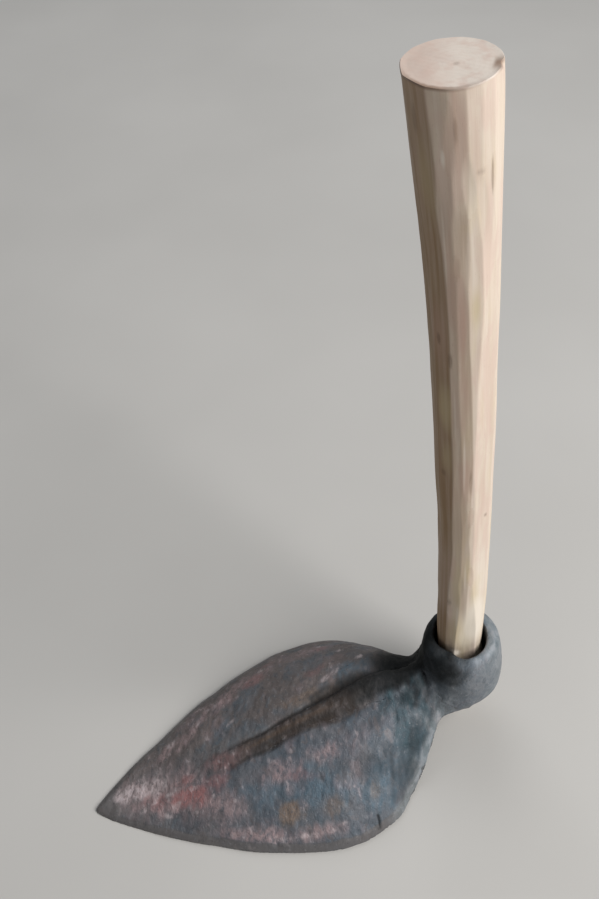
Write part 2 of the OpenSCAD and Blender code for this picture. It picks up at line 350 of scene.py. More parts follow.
def settle(F):
    """Fills the outer corners of checkered cell faces, so that the surface never touches itself along an edge."""
    for n in range(12):
        ins, bad = F < 0, 0
        for ax, ay in ((0, 1), (1, 2), (0, 2)):
            sl = [[slice(None)] * 3 for k in range(4)]
            for k, (p, q) in enumerate(((0, 0), (1, 0), (1, 1), (0, 1))):
                sl[k][ax] = slice(p, F.shape[ax] - 1 + p)
                sl[k][ay] = slice(q, F.shape[ay] - 1 + q)
            a, b, c, d = [ins[tuple(s)] for s in sl]
            P = np.stack(np.nonzero((a == c) & (b == d) & (a != b)), 1)
            bad += len(P)
            out_a = ~ins[tuple(P.T)]
            e, f = np.zeros(3, int), np.zeros(3, int)
            e[ax], f[ay] = 1, 1
            one = np.where(out_a[:, None], P, P + e)
            two = np.where(out_a[:, None], P + e + f, P + f)
            low = F[tuple(one.T)] < F[tuple(two.T)]
            pick = np.where(low[:, None], one, two)
            F[tuple(pick.T)] = -1e-3
        for (p, q) in (((0, 0, 0), (1, 1, 1)), ((1, 0, 0), (0, 1, 1)), ((0, 1, 0), (1, 0, 1)), ((0, 0, 1), (1, 1, 0))):
            ins = F < 0
            nx, ny, nz = F.shape
            s = sum(ins[a:nx - 1 + a, b:ny - 1 + b, c:nz - 1 + c].astype(np.int8) for a in (0, 1) for b in (0, 1) for c in (0, 1))
            u = ins[p[0]:nx - 1 + p[0], p[1]:ny - 1 + p[1], p[2]:nz - 1 + p[2]]
            v = ins[q[0]:nx - 1 + q[0], q[1]:ny - 1 + q[1], q[2]:nz - 1 + q[2]]
            P = np.stack(np.nonzero((u == v) & (((s == 2) & u) | ((s == 6) & ~u))), 1)
            bad += len(P)
            for r in ((p[0], p[1], q[2]), (p[0], q[1], q[2])) if len(P) else ():
                k = (P + np.array(r)).T
                F[tuple(k)] = np.minimum(F[tuple(k)], -1e-3)
            for r in (p, q):
                k = (P + np.array(r)).T
                F[tuple(k)] = np.minimum(F[tuple(k)], -1e-3)
        if not bad:
            return


# ---- cutting the welded head into its pieces -------------------------

LAP = 1.2          # how far neighbouring pieces lap at a weld
PROUD = 0.06       # and how much the upper one stands proud there


def ring_cut(x, y, z):
    """Negative inside the ring's own share of the head."""
    a, b, h = ring_axes(x, y, z)
    hh = np.clip(h - LIFT, 4, EYE_H - 4)
    return np.hypot(a, b) - (belly(hh) + 2.3 + 0.4 * np.sin(3 * np.arctan2(b, a) + hh / 7))


def rib_cut(z, plan):
    """Negative inside the rib's own share: between its grooves, above the plate, as far as it runs."""
    u, hw, yy, t, up, dn, rib, v = plan
    taper = np.sqrt(np.clip((1.0 - v) / 0.16, 0, 1))
    wide = (across(u, yy, np.maximum(0.2, rib * taper)) - 1.05) * np.maximum(0.2, rib * taper) * 0.74
    wide = np.maximum(wide, -14.0 - yy)
    return np.maximum(np.maximum(wide, (v - 0.99) * 200), (up - 2.2) - z)


def blade_share(f, rc, bc):
    lap = ((rc < 0.3) & (rc > -LAP - 0.8)) | ((bc < 0.3) & (bc > -LAP - 0.8))
    return np.maximum(np.maximum(f - PROUD * lap, -LAP - rc), -LAP - bc)


def rib_share(f, rc, bc):
    lap = (rc < 0.3) & (rc > -LAP - 0.8)
    return np.maximum(np.maximum(f - 0.5 * PROUD * lap, bc), -LAP - rc)


def ring_share(f, rc, bc):
    return np.maximum(f, rc)


def ring_border(P):
    return ring_cut(P[:, 0], P[:, 1], P[:, 2])


def rib_border(P):
    return rib_cut(P[:, 2], plate(P[:, 0], P[:, 1]))


def head_at(P):
    return head_field(P[:, 0], P[:, 1], P[:, 2])


def share_at(P, share):
    x, y, z = P.T
    return share(head_at(P), ring_cut(x, y, z), rib_cut(z, plate(x, y)))


def project(V, field, rounds=3):
    """Moves points onto the field's zero surface. Returns them and the outward normals."""
    e = 0.04
    for n in range(rounds):
        f = field(V)
        G = np.stack([(field(V + d) - field(V - d)) / (2 * e) for d in np.eye(3) * e], 1)
        gg = np.maximum((G * G).sum(1), 0.25)
        V = V - (np.clip(f / gg, -0.4, 0.4))[:, None] * G
    return V, G / np.maximum(np.linalg.norm(G, axis=1), 1e-6)[:, None]


def crisp(V, one, two, reach):
    """Moves points that lie near both of two surfaces onto the line where they meet."""
    e = 0.04
    k = np.nonzero((np.abs(one(V)) < reach) & (np.abs(two(V)) < reach))[0]
    P = V[k]
    start = P.copy()
    for n in range(4):
        a, b = one(P), two(P)
        ga, gb = [np.stack([(f(P + d) - f(P - d)) / (2 * e) for d in np.eye(3) * e], 1) for f in (one, two)]
        aa, bb, ab = (ga * ga).sum(1), (gb * gb).sum(1), (ga * gb).sum(1)
        det = np.maximum(aa * bb - ab * ab, 0.2)
        s, t = (a * bb - b * ab) / det, (b * aa - a * ab) / det
        P = P - np.clip(s, -0.5, 0.5)[:, None] * ga - np.clip(t, -0.5, 0.5)[:, None] * gb
    move = P - start
    far = np.linalg.norm(move, axis=1)
    P = start + move * np.minimum(1, 1.1 * reach / np.maximum(far, 1e-6))[:, None]
    V = V.copy()
    V[k] = P
    return V


def build(lo, hi, step, share, border=None):
    """Mesh of one piece of the head on a grid of cells: its points, quads, normals, and which points lie on the outer skin."""
    xs, ys, zs = [np.arange(a, b + step, step) for a, b in zip(lo, hi)]
    X, Y = np.meshgrid(xs, ys, indexing="ij")
    plan = plate(X, Y)
    u, hw, yy, t, up, dn, rib, v = plan
    d = 0.5
    px, py = plate(X + d, Y), plate(X, Y + d)
    su = np.sqrt(1 + ((px[4] - up) / d) ** 2 + ((py[4] - up) / d) ** 2)
    sd = np.sqrt(1 + ((px[5] - dn) / d) ** 2 + ((py[5] - dn) / d) ** 2)
    side, rel = side_distance(X, Y), rib_relief(u, yy, rib, v)
    flat = [q[:, :, None] for q in (u, up, dn, su, sd, side, rel)]
    plan = [q[:, :, None] for q in plan]
    Z = zs[None, None, :]
    F = np.empty((len(xs), len(ys), len(zs)), np.float32)
    near = int(np.searchsorted(xs, EYE_X - 55))
    for a, b, ring in ((0, near, False), (near, len(xs), True)):
        if a >= b:
            continue
        x, y = X[a:b, :, None], Y[a:b, :, None]
        fl = [q[a:b] for q in flat]
        f = head_field(x, y, Z, fl) if ring else plate_field(x, y, Z, fl)
        rc = ring_cut(x, y, Z) if ring else np.full((1, 1, 1), 99.0)
        F[a:b] = share(f, rc, rib_cut(Z, [q[a:b] for q in plan]))
    settle(F)
    V, Q = surface_net(F, xs[0], ys[0], zs[0], step)
    V, N = project(V, lambda P: share_at(P, share))
    if border is not None:
        V = crisp(V, head_at, border, 0.62 * step)
    skin = np.abs(head_at(V)) < 0.15
    if border is not None:
        # points on the border take the skin's own normal, so both sides of the weld move alike
        e = 0.04
        k = np.nonzero(skin & (np.abs(border(V)) < 0.2))[0]
        G = np.stack([(head_at(V[k] + d) - head_at(V[k] - d)) / (2 * e) for d in np.eye(3) * e], 1)
        N[k] = G / np.maximum(np.linalg.norm(G, axis=1), 1e-6)[:, None]
    return V, Q, N, skin


# ---- the whittled stick ----------------------------------------------

TAIL_H, SEAT_TOP, BUTT_H = 22.0, 49.0, 487.0
WEDGE_T, WEDGE_LEN, WEDGE_PROUD = 5.5, 26.0, 3.0

# Half the stick's width, and how far its middle strays sideways, by height along the eye's axis
stick_r = curve([(22, 15.0), (49, 15.0), (62, 14.9), (75, 14.6), (85, 14.8), (95, 15.1), (130, 15.4), (160, 15.4), (200, 15.6),
                 (240, 16.2), (280, 16.6), (320, 16.8), (360, 17.3), (400, 17.9), (440, 19.0), (470, 19.75), (487, 20.0)])
stray = curve([(22, 0), (60, 0), (75, -1.1), (95, -1.1), (130, -0.6), (200, -0.5), (240, -0.8), (280, -0.5), (320, -0.5), (360, -0.1),
               (400, -0.1), (440, -0.3), (487, -0.3)])
# Where the flats meet, in degrees round from the side that faces the tip's near lobe
dark_arris = curve([(22, -38), (100, -37.6), (120, -37), (150, -33), (180, -27), (200, -27), (250, -22), (300, -24), (350, -23), (400, -24),
                    (430, -28), (450, -26), (487, -30)])
arrises = [
    curve([(22, 62), (140, 64), (260, 66), (360, 70), (487, 74)]),
    curve([(22, 44), (100, 39), (125, 30), (150, 21), (175, 20), (200, 21), (235, 19.5), (270, 19.5), (300, 22), (330, 25.5), (350, 29),
           (375, 32.4), (400, 31.6), (430, 30.3), (450, 33), (487, 35)]),
    curve([(22, -16), (90, -13), (100, -11.8), (115, -9), (140, -7), (200, -5), (250, -3.5), (300, -8), (350, -9), (400, -7.4),
           (430, -6.5), (487, -4)]),
    dark_arris,
    curve([(22, -68), (100, -63), (200, -60), (300, -56), (400, -58), (487, -66)]),
    curve([(22, -96), (120, -90), (250, -92), (380, -88), (487, -104)]),
    curve([(22, -128), (150, -120), (300, -126), (487, -132)]),
    curve([(22, -158), (180, -154), (340, -160), (487, -163)]),
    curve([(22, -188), (150, -184), (320, -190), (487, -192)]),
    curve([(22, -217), (200, -222), (360, -214), (487, -220)]),
    curve([(22, -246), (150, -252), (330, -246), (487, -250)]),
    curve([(22, -272), (200, -268), (340, -262), (487, -266)]),
]
main_arris = curve([(22, 9), (130, 9), (150, 10.5), (180, 11.8), (200, 9.2), (220, 11.8), (250, 15), (290, 13.7), (330, 11.8), (350, 9.2),
                    (375, 8.4), (400, 7.4), (420, 10.5), (435, 13.7), (450, 15), (487, 15.8)])
extra = [
    (main_arris, 104, 132),
    (curve([(22, 52), (380, 52), (487, 52)]), 395, 420),
]
FACING = -114.0


def stick_axis(h):
    """Middle of the stick at height h along the eye's axis, in the eye's own axes."""
    w = np.clip((h - 60) / (BUTT_H - 60), 0, 1)
    arc = 4 * w * (1 - w)
    f = math.radians(FACING + 90)
    return 8.5 * arc - w + stray(h) * math.cos(f), 8.0 * arc + stray(h) * math.sin(f)


def from_axis(a, b, h):
    return np.stack([EYE_X + a * CL - h * SL, b, a * SL + h * CL], -1)


def stick_section(h, th):
    """Radius of the whittled section at each angle th (radians), and which flat it is on."""
    R = float(stick_r(h)) * 1.013
    ang = [float(a(h)) for a in arrises]
    rad = [R * (1 + 0.010 * float(noise(h / 70.0, i * 3.3, 0.7))) for i in range(len(ang))]
    for c, h0, h1 in extra:
        s = float(smoothstep(h0, h1, h))
        if s > 0:
            # it grows out of the flat between its neighbours
            at = float(c(h))
            lo = max((k for k in range(len(ang)) if ang[k] < at), key=lambda k: ang[k])
            hi = min((k for k in range(len(ang)) if ang[k] > at), key=lambda k: ang[k])
            p, q = math.radians(at - ang[lo]), math.radians(ang[hi] - at)
            chord = rad[lo] * rad[hi] * math.sin(p + q) / (rad[lo] * math.sin(p) + rad[hi] * math.sin(q))
            ang.append(at)
            rad.append(chord * (1 - s) + R * 1.004 * s)
    ang = np.radians(np.array(ang) + FACING)
    order = np.argsort(ang)
    ang, rad = ang[order], np.array(rad)[order]
    A = np.concatenate([ang - 2 * math.pi, ang, ang + 2 * math.pi])
    B = np.concatenate([rad] * 3)
    # leave out a corner that would be hollow
    keep = np.ones(len(A), bool)
    for i in range(1, len(A) - 1):
        chord = B[i - 1] * B[i + 1] * math.sin(A[i + 1] - A[i - 1]) / (
            B[i - 1] * math.sin(A[i] - A[i - 1]) + B[i + 1] * math.sin(A[i + 1] - A[i]))
        if B[i] < chord:
            keep[i] = False
    A, B = A[keep], B[keep]
    t = np.mod(th - ang[0], 2 * math.pi) + ang[0]
    i = np.clip(np.searchsorted(A, t, side="right") - 1, 0, len(A) - 2)
    a0, a1, b0, b1 = A[i], A[i + 1], B[i], B[i + 1]
    r = b0 * b1 * np.sin(a1 - a0) / (b0 * np.sin(t - a0) + b1 * np.sin(a1 - t))
    return r, i % len(ang)


def saw_tilt(a, b):
    """How far below square the saw cut the free end, at a point measured from the stick's middle."""
    f = math.radians(FACING + 6)
    c = (a * math.cos(f) + b * math.sin(f)) / 19.6
    return 0.06 + 0.7 * np.maximum(0, c) ** 3 + 0.2 * np.maximum(0, -c)


def knife_cuts(n, seed):
    g = np.random.RandomState(seed)
    return [(g.uniform(0, 2 * math.pi), g.uniform(95, 470), g.uniform(14, 40), g.uniform(0.02, 0.13), g.uniform(-0.02, 0.02)) for k in range(n)]


def stick_mesh():
    cuts = knife_cuts(110, 4)
    hs = np.concatenate([np.arange(TAIL_H, 60, 2.0), np.arange(60, 110, 1.0), np.arange(110, 480, 2.2), np.arange(480, 485, 0.6),
                         np.linspace(485, BUTT_H, 6)])
    M = 264
    th = np.linspace(0, 2 * math.pi, M, endpoint=False)
    cs, sn = np.cos(th), np.sin(th)
    lip = 0.30 + 0.30 * noise(cs * 1.8, sn * 1.8, 9.1) + 1.5 * bump(np.mod(th - math.radians(FACING + 80) + math.pi, 2 * math.pi), math.pi, 0.22)
    V, flat, rel = [], [], []
    for h in hs:
        if h < SEAT_TOP:
            r, f = np.full(M, 15.0) + 0.0, np.zeros(M, int)
        else:
            r, f = stick_section(h, th)
            for (c, hc, L, dep, tw) in cuts:
                q = (h - hc) / L
                if abs(q) < 1:
                    Rm = float(stick_r(hc)) * 1.004
                    d = Rm - dep * (1 - q * q) + 0.9 * q * q
                    co = np.cos(th - c - tw * q * 10)
                    plane = np.where(co > 0.3, d / np.maximum(co, 0.3), 99)
                    f = np.where(plane < r, 20 + int(dep * 1000) % 60, f)
                    r = np.minimum(r, plane)
            round_end = 0.05 + 0.20 * float(smoothstep(474, 486, h)) + 0.30 * float(smoothstep(481, 486.6, h))
            r = r * (1 - round_end) + float(stick_r(h)) * (0.985 + 0.015 * round_end) * round_end
            r = r + 0.10 * noise(cs * r / 4.0, sn * r / 4.0, h / 46.0) + 0.05 * noise(cs * r / 1.4, sn * r / 1.4, h / 30.0)
            k = np.array([1, 2, 1]) / 4.0
            r = k[0] * np.roll(r, 1) + k[1] * r + k[2] * np.roll(r, -1)
            if h < 64:
                s = float(smoothstep(SEAT_TOP, 64, h))
                r = 15.0 * (1 - s) + r * s
        # a splinter crushed up against the mouth of the eye
        r = r + 0.9 * bump(h, 79.5, 4.2) * bump(np.mod(th - math.radians(FACING - 14) + math.pi, 2 * math.pi), math.pi, 0.22)
        r = np.minimum(r, r - (h - (BUTT_H - lip)) * 0.8)
        ca, cb = stick_axis(h)
        drop = saw_tilt(r * cs, r * sn) * float(smoothstep(462, 487, h))
        V.append(from_axis(ca + r * cs, cb + r * sn, h - drop))
        flat.append(f)
        rel.append(np.full(M, h))
    rim = V[-1]
    ca, cb = stick_axis(BUTT_H)
    mid = from_axis(np.array(ca), np.array(cb), np.array(BUTT_H))
    # the sawn end, a little uneven, with the saw's lines across it
    up = np.array([-SL, 0, CL])
    last = hs[-1]
    K = 26
    for k in range(1, K):
        s = 1 - k / K
        P = mid + (rim - mid) * s
        x, y = P[:, 0], P[:, 1]
        w = min(1.0, k / 3.0)
        saw = -0.14 - 0.12 * noise(x / 6, y / 6, 2.2) - 0.02 * np.sin((x * 0.8 + y * 0.6) * 2.4 + 2 * noise(x / 9, y / 9, 0.3))
        P = P + up * (np.minimum(saw, -0.01) * w)[:, None]
        V.append(P)
        flat.append(np.full(M, 90))
        rel.append(np.full(M, BUTT_H))
    base = V[0]
    ca, cb = stick_axis(TAIL_H)
    low = from_axis(np.array(ca), np.array(cb), np.array(TAIL_H))
    V = V[::-1]
    flat, rel = flat[::-1], rel[::-1]
    n = len(V)
    V.append(low + (base - low) * 0.93 - up * 0.35)
    V.append(low + (base - low) * 0.5 - up * 0.35)
    flat += [np.full(M, 91)] * 2
    rel += [np.full(M, TAIL_H)] * 2
    V = np.array(V)
    rows = len(V)
    P = V.reshape(-1, 3)
    top, bot = len(P), len(P) + 1
    P = np.concatenate([P, (mid - up * 0.15)[None], (low - up * 0.35)[None]])
    i, j = np.meshgrid(np.arange(rows - 1), np.arange(M), indexing="ij")
    j2 = (j + 1) % M
    quads = np.stack([i * M + j, (i + 1) * M + j, (i + 1) * M + j2, i * M + j2], -1).reshape(-1, 4)
    j = np.arange(M)
    tri = [np.stack([np.full(M, top), j, (j + 1) % M], 1), np.stack([np.full(M, bot), (rows - 1) * M + (j + 1) % M, (rows - 1) * M + j], 1)]
    flat = np.concatenate([np.concatenate(flat), [90, 91]])
    return P, quads, np.concatenate(tri), flat


# ---- what the hammer and the years left on the iron, and painted shadow, shade and highlight ---

def along(P, path):
    """Distance from each point to a path of straight pieces, with how far along it (0..1) the nearest point is."""
    path = np.array(path, float)
    seg = np.linalg.norm(np.diff(path, axis=0), axis=1)
    run = np.concatenate([[0], np.cumsum(seg)])
    best, where = np.full(len(P), 1e9), np.zeros(len(P))
    for i in range(len(seg)):
        a, d = path[i], path[i + 1] - path[i]
        t = np.clip(((P - a) @ d) / (d @ d), 0, 1)
        r = np.linalg.norm(P - a - t[:, None] * d, axis=1)
        near = r < best
        best, where = np.where(near, r, best), np.where(near, (run[i] + t * seg[i]) / run[-1], where)
    return best, where


# Folds where the ring was lapped over the plate: (path, width, depth)
folds = [
    ([(74.5, -2.6, 52.4), (76.1, -5.2, 50.8), (77.3, -8.6, 47.4), (78.2, -12.6, 45.4), (78.0, -17.5, 43.2)], 3.0, 2.4),
    ([(86.8, -3.2, 58.6), (88.0, -6.8, 54.0), (88.6, -10.2, 49.0), (87.4, -13.4, 45.2), (85.0, -16.4, 43.2)], 2.9, 1.7),
    ([(84.0, 11.0, 48.0), (82.0, 15.0, 43.5), (83.0, 19.5, 39.5)], 1.4, 0.8),
    ([(31.0, -68.6, 10.8), (30.9, -71.5, 7.8), (30.4, -74.2, 4.4)], 1.0, 1.6),
    ([(-61.0, 48.2, 3.5), (-62.0, 50.2, 0.5)], 0.9, 0.8),
]
ridges = [
    ([(67.7, -5.2, 47.6), (73.3, -3.8, 51.0), (82.0, -1.6, 54.2), (84.5, -1.0, 56.0)], 2.6, 0.8),
    ([(84.0, -3.5, 54.0), (84.5, -8.0, 49.5), (84.6, -13.5, 45.0)], 2.8, 1.1),
    ([(80.0, -14.0, 45.4), (77.0, -20.0, 42.5), (73.0, -27.0, 39.0)], 2.2, 0.4),
]


def forge(P, N):
    """How far each point of the iron's skin moves along its normal, in mm."""
    x, y, z = P.T
    u = station(x)
    yy = y - wander(u)
    hw = half_width(u, yy)
    side = np.abs(yy) - hw
    x, y = 0.95 * x - 0.31 * y, 0.31 * x + 0.95 * y
    top = smoothstep(-0.3, 0.3, N[:, 2])
    calm = 1 - 0.65 * smoothstep(-4.5, -2.0, side) * smoothstep(0.1, 0.2, u)
    ringed = smoothstep(8, -4, np.hypot(*ring_axes(*P.T)[:2]) - 27)
    wx, wy, wz = [1.4 * noise(x / 9 + s, y / 12, z / 9) for s in (0, 40, 80)]
    d, own = dimples((x + wx) / 14.0, (y + wy) / 19.0, (z + wz) / 15.0, 5)
    move = -0.50 * np.clip(1 - (d / 0.62) ** 2, 0, 1) * (0.4 + own)
    d, own = dimples((x + wx) / 5.6, (y + wy) / 9.0, (z + wz) / 6.0, 9)
    move -= 0.42 * np.clip(1 - (d / 0.55) ** 2, 0, 1) * (0.2 + own) * (1 - 0.4 * ringed)
    d, own = dimples((x + wy) / 2.9, (y + wx) / 5.2, z / 3.2, 14)
    move -= 0.24 * np.clip(1 - (d / 0.5) ** 2, 0, 1) * own * (1 - 0.5 * ringed)
    move += 0.22 * noise(x / 21, y / 21, z / 21) - 0.15
    move += (0.13 * noise(x / 2.6, y / 8.5, z / 3.0) + 0.07 * noise(x / 1.7, y / 3.4, z / 1.9)) * (1 - 0.4 * ringed)
    move = np.minimum(move, 0.0) * calm * (0.75 + 0.25 * top)
    for path, w, depth in folds:
        r, s = along(P, path)
        ends = smoothstep(-0.02, 0.18, s) * smoothstep(1.02, 0.75, s)
        move -= depth * ends * np.exp(-(r / (w * 0.62)) ** 2)
        move += 0.22 * depth * ends * np.exp(-((r - w * 1.6) / (w * 0.8)) ** 2) * (N[:, 2] > 0)
    for path, w, high in ridges:
        r, s = along(P, path)
        ends = smoothstep(0, 0.25, s) * smoothstep(1.0, 0.7, s)
        move += high * ends * np.exp(-(r / w) ** 2)
    return move


def patch(x, y, spots, seed, soft=(1.25, 0.25)):
    """A soft-edged stain made of ragged ovals (x, y, half-length, half-width, degrees, strength) in plan."""
    out = np.zeros(len(x))
    x, y = x - 0.35 * y, y
    rag = 0.8 * noise(x / 8 + seed, y / 13, 1.5) + 0.6 * noise(x / 3.0 + seed, y / 7.0, 7.5)
    x = x + 0.35 * y
    for cx, cy, rx, ry, turn, s in spots:
        c, k = math.cos(math.radians(turn)), math.sin(math.radians(turn))
        a, b = (x - cx) * c + (y - cy) * k, -(x - cx) * k + (y - cy) * c
        r = np.sqrt((a / rx) ** 2 + (b / ry) ** 2) + rag
        out = np.maximum(out, s * smoothstep(soft[0], soft[1], r))
    return out


# how far over toward the tip's near side the painted shadow on the neck's crown reaches
crown_end = curve([(-0.03, -16), (0.035, -13), (0.055, -5), (0.07, -2.4), (0.082, -3.7), (0.107, -6.0), (0.135, -8.4), (0.16, -8.8), (0.23, -9.2), (0.34, -10)])


def stains(P, N):
    """Where the iron's colour changes, painted shadow, shade and highlight among it: masks from 0 to 1, one value a
    point.
    """
    x, y, z = P.T
    u = station(x)
    yy = y - wander(u)
    hw = half_width(u, yy)
    t = yy / hw
    side = side_distance(x, y)
    a, b, h = ring_axes(x, y, z)
    ringed = smoothstep(6, -2, np.hypot(a, b) - 27) * smoothstep(24, 34, h)
    top = smoothstep(-0.15, 0.25, N[:, 2])
    n1 = noise(x / 17, y / 17, z / 17)
    n2 = noise(x / 6, y / 10, z / 6 + 5)
    n3 = noise(x / 2.4, y / 5.0, z / 2.4 + 9)
    rib = across(u, yy, rib_wide(u) * RIB_W / 2)
    far = yy > -0.9 - drift(u)

    pink = patch(x, y, [(-112, -13, 16, 6, -22, 0.8), (-124, 3.5, 15, 8, -4, 1.3), (-110, 1, 19, 10, -8, 1.4), (-100, -13, 15, 8, -24, 1.1), (-84, -15, 15, 8, -22, 1.05), (-70, -27, 10, 7, -30, 1.15),
                        (-60, -33, 13, 9, -40, 0.75), (-45, -56, 28, 5, -22, 0.95), (-14, -66, 24, 4.5, -10, 0.9),
                        (-24, -28, 16, 8, -15, 0.85), (8, -27, 18, 6, -6, 0.7), (34, -24, 16, 6, 8, 0.34), (50, -20, 12, 5, 16, 0.2),
                        (63, -27, 10, 6, -50, 0.3), (24, 60, 20, 8, -8, 0.55), (-10, 56, 20, 7, 22, 0.6), (-45, 44, 18, 7, 33, 1.0),
                        (-75, 27, 15, 5, 38, 0.8), (-92, 22, 10, 4, 40, 0.9), (-58, 40, 14, 5, 36, 0.8), (-28, 54, 16, 6, 26, 0.7), (-48, -3, 20, 5, -5, 0.5)], 3, (1.4, 0.05))
    pink = np.maximum(pink, patch(x, y, [(-100, -6, 34, 15, -12, 0.75), (-78, -24, 18, 9, -20, 0.5)], 91, (1.5, 0.2)))
    pink = np.maximum(pink, 0.33 * smoothstep(0.05, 0.45, n1 + 0.5 * n2) * (1 - smoothstep(0.4, 0.1, rib)) * smoothstep(0.12, 0.24, u))
    red = patch(x, y, [(-104, -11, 11, 6, -15, 0.9), (-90, -15, 12, 6, -10, 1.2), (-78, -17, 12, 7, -15, 1.35), (-66, -14, 10, 6, -15, 0.7), (-84, -5, 9, 4, -5, 0.8), (-56, -4, 16, 7, -4, 0.6), (-20, 51, 12, 6, 20, 0.6), (-10, -34, 12, 4, -20, 0.4), (-110, -9, 8, 3, -20, 0.6), (34, 58, 9, 3.5, -10, 0.5),
                       (22, 34, 8, 4, 30, 0.5), (-6, 64, 8, 3, 10, 0.5)], 11)
    blue = patch(x, y, [(-36, -34, 22, 9, -20, 0.75), (4, -47, 30, 12, -6, 0.95), (40, -52, 24, 14, 20, 0.9), (70, -40, 16, 14, 50, 0.85),
                        (82, -30, 12, 9, 60, 0.8), (48, 24, 18, 9, -20, 0.8), (-30, 36, 20, 8, 25, 0.36), (-52, 18, 18, 7, 30, 0.65),
                         (60, -44, 16, 14, 40, 0.9), (48, -60, 12, 8, 30, 0.8), (-8, -34, 22, 10, -8, 0.7), (22, 46, 22, 8, 0, 0.5)], 23)
    blue = np.maximum(blue, 0.4 * smoothstep(-0.05, -0.4, n1 + 0.4 * n2)) * (1 - 0.75 * smoothstep(0.62, 0.72, u))
    tan = patch(x, y, [(-22, -52, 9, 7, -20, 1.0), (8, 14, 22, 6, -5, 0.6), (33, -56, 7, 6, 0, 0.5), (6, -58, 8, 5, 0, 0.5)], 31)
    # painted highlight: a light tan line along the rib's crest, joined to the real tan patches
    crest_highlight = 1.3 * np.exp(-(rib / 0.2) ** 2) * smoothstep(0.30, 0.38, u) * smoothstep(0.60, 0.50, u) * (0.8 + 0.5 * n2)
    tan = np.maximum(tan, np.clip(1.5 * crest_highlight, 0, 1))
    brown = smoothstep(1.25, 0.75, rib + 0.5 * n2) * smoothstep(0.15, 0.26, u + 0.05 * n2) * smoothstep(0.72, 0.5, u + 0.06 * n2) * top
    # painted shadow of the eye and handle over the far side of the neck and the neck's crown; this mask also carries
    # the shade and dirt below
    shade_and_dirt = smoothstep(42, 14, np.hypot((x - 84), (y - 11) * 1.25)) * smoothstep(-8, 2, y + 0.18 * (x - 84) + 5 * n1)
    crown = smoothstep(1.25, 0.55, rib + 0.25 * n2) * smoothstep(0.34, 0.22, u + 0.04 * n1) * smoothstep(-0.02, 0.03, u) * smoothstep(-3.6, 2.6, yy - crown_end(u) + 1.4 * n2 + 1.2 * n3)
    shade_and_dirt = np.maximum(shade_and_dirt, 0.95 * crown * top)
    # painted shadow of the handle along the far side of the rib, fading toward the tip
    r, s_ = along(np.stack([x, y, 0 * z], 1), [(88.0, 10.0, 0.0), (62.0, 10.0, 0.0), (34.0, 11.5, 0.0), (17.0, 10.0, 0.0)])
    shade_and_dirt = np.maximum(shade_and_dirt, (1.0 - 0.35 * s_) * smoothstep(19 - 12 * s_, 3.0, r + 3 * n1 + 2 * n2) * (yy > -2))
    # the rib's near flank darker
    flank = np.exp(-((rib - 0.55) / 0.30) ** 2) * (~far) * smoothstep(0.20, 0.27, u) * smoothstep(0.62, 0.52, u + 0.05 * n2)
    shade_and_dirt = np.maximum(shade_and_dirt, 0.56 * flank * top)
    # painted deep shadow: the far side of the neck, the neck's crown, and the eye's front-left top
    painted_shadow = smoothstep(37, 13, np.sqrt((x - 86) ** 2 + (y - 12) ** 2 + ((z - 60) * 0.7) ** 2) + 4 * n2) * smoothstep(-3.0, 2.0, y + 0.25 * (x - 84))
    painted_shadow = np.maximum(painted_shadow, 0.6 * crown * smoothstep(0.19, 0.12, u))
    painted_shadow = np.maximum(painted_shadow, 0.66 * smoothstep(20, 7, np.sqrt((x - 97) ** 2 + ((y + 8) * 0.6) ** 2 + ((z - 76) * 0.8) ** 2) + 4 * n2))
    dim = patch(x, y, [(86, -31, 13, 8, 60, 0.55), (60, -50, 17, 12, 45, 0.62), (70, -38, 12, 8, 50, 0.5), (40, -43, 20, 9, 8, 0.4), (44, -21, 16, 5, 5, 0.28), (78, -11, 13, 5, 15, 0.55), (20, -43, 16, 7, 0, 0.25), (74, -31, 9, 5, 50, 0.4), (95, -20, 6, 4, 60, 0.3)], 61)
    dim = dim * smoothstep(-1.5, -5.0, side)
    shade_and_dirt = np.maximum(shade_and_dirt, dim)
    # painted shadow of the handle on the eye's front-left top
    shade_and_dirt = np.maximum(shade_and_dirt, 0.9 * smoothstep(22, 8, np.sqrt((x - 97) ** 2 + ((y + 8) * 0.62) ** 2 + ((z - 74) * 0.8) ** 2) + 4 * n2))
    # painted shade and dirt along the rib's grooves
    groove = np.where(far, 1.15 * np.exp(-((rib - 1.10) / 0.27) ** 2), (0.6 + 0.5 * smoothstep(0.38, 0.46, u)) * np.exp(-((rib - 0.94) / 0.25) ** 2) * smoothstep(0.2, 0.3, u))
    groove = groove * smoothstep(0.0, 0.1, u) * smoothstep(0.68, 0.54, u + 0.08 * n2) * (0.85 + 0.5 * n2) * top
    # painted shade round the eye's mouth on the side toward the blade
    mouth = smoothstep(3.0, 0.0, np.abs(np.hypot(a, b) - 17.5)) * smoothstep(70, 78, h)
    shade_and_dirt = np.maximum(shade_and_dirt, np.maximum(0.5 * groove, 0.6 * mouth * smoothstep(10, -14, a)))
    # darker in the folds
    for path, w, depth in folds:
        r, s = along(P, path)
        shade_and_dirt = np.maximum(shade_and_dirt, min(1, depth) * min(1, 2.2 / w) * np.exp(-(r / (w * 1.05)) ** 2))
    # painted shade inside the eye's hole
    inside = smoothstep(0.5, -1.0, np.hypot(a, b) - 18.0) * smoothstep(30, 34, h)
    shade_and_dirt = np.maximum(shade_and_dirt, 0.9 * inside)
    pale = smoothstep(0.28, 0.5, n3 + 0.55 * n2) * smoothstep(-0.1, 0.4, pink + 0.3 * n1)
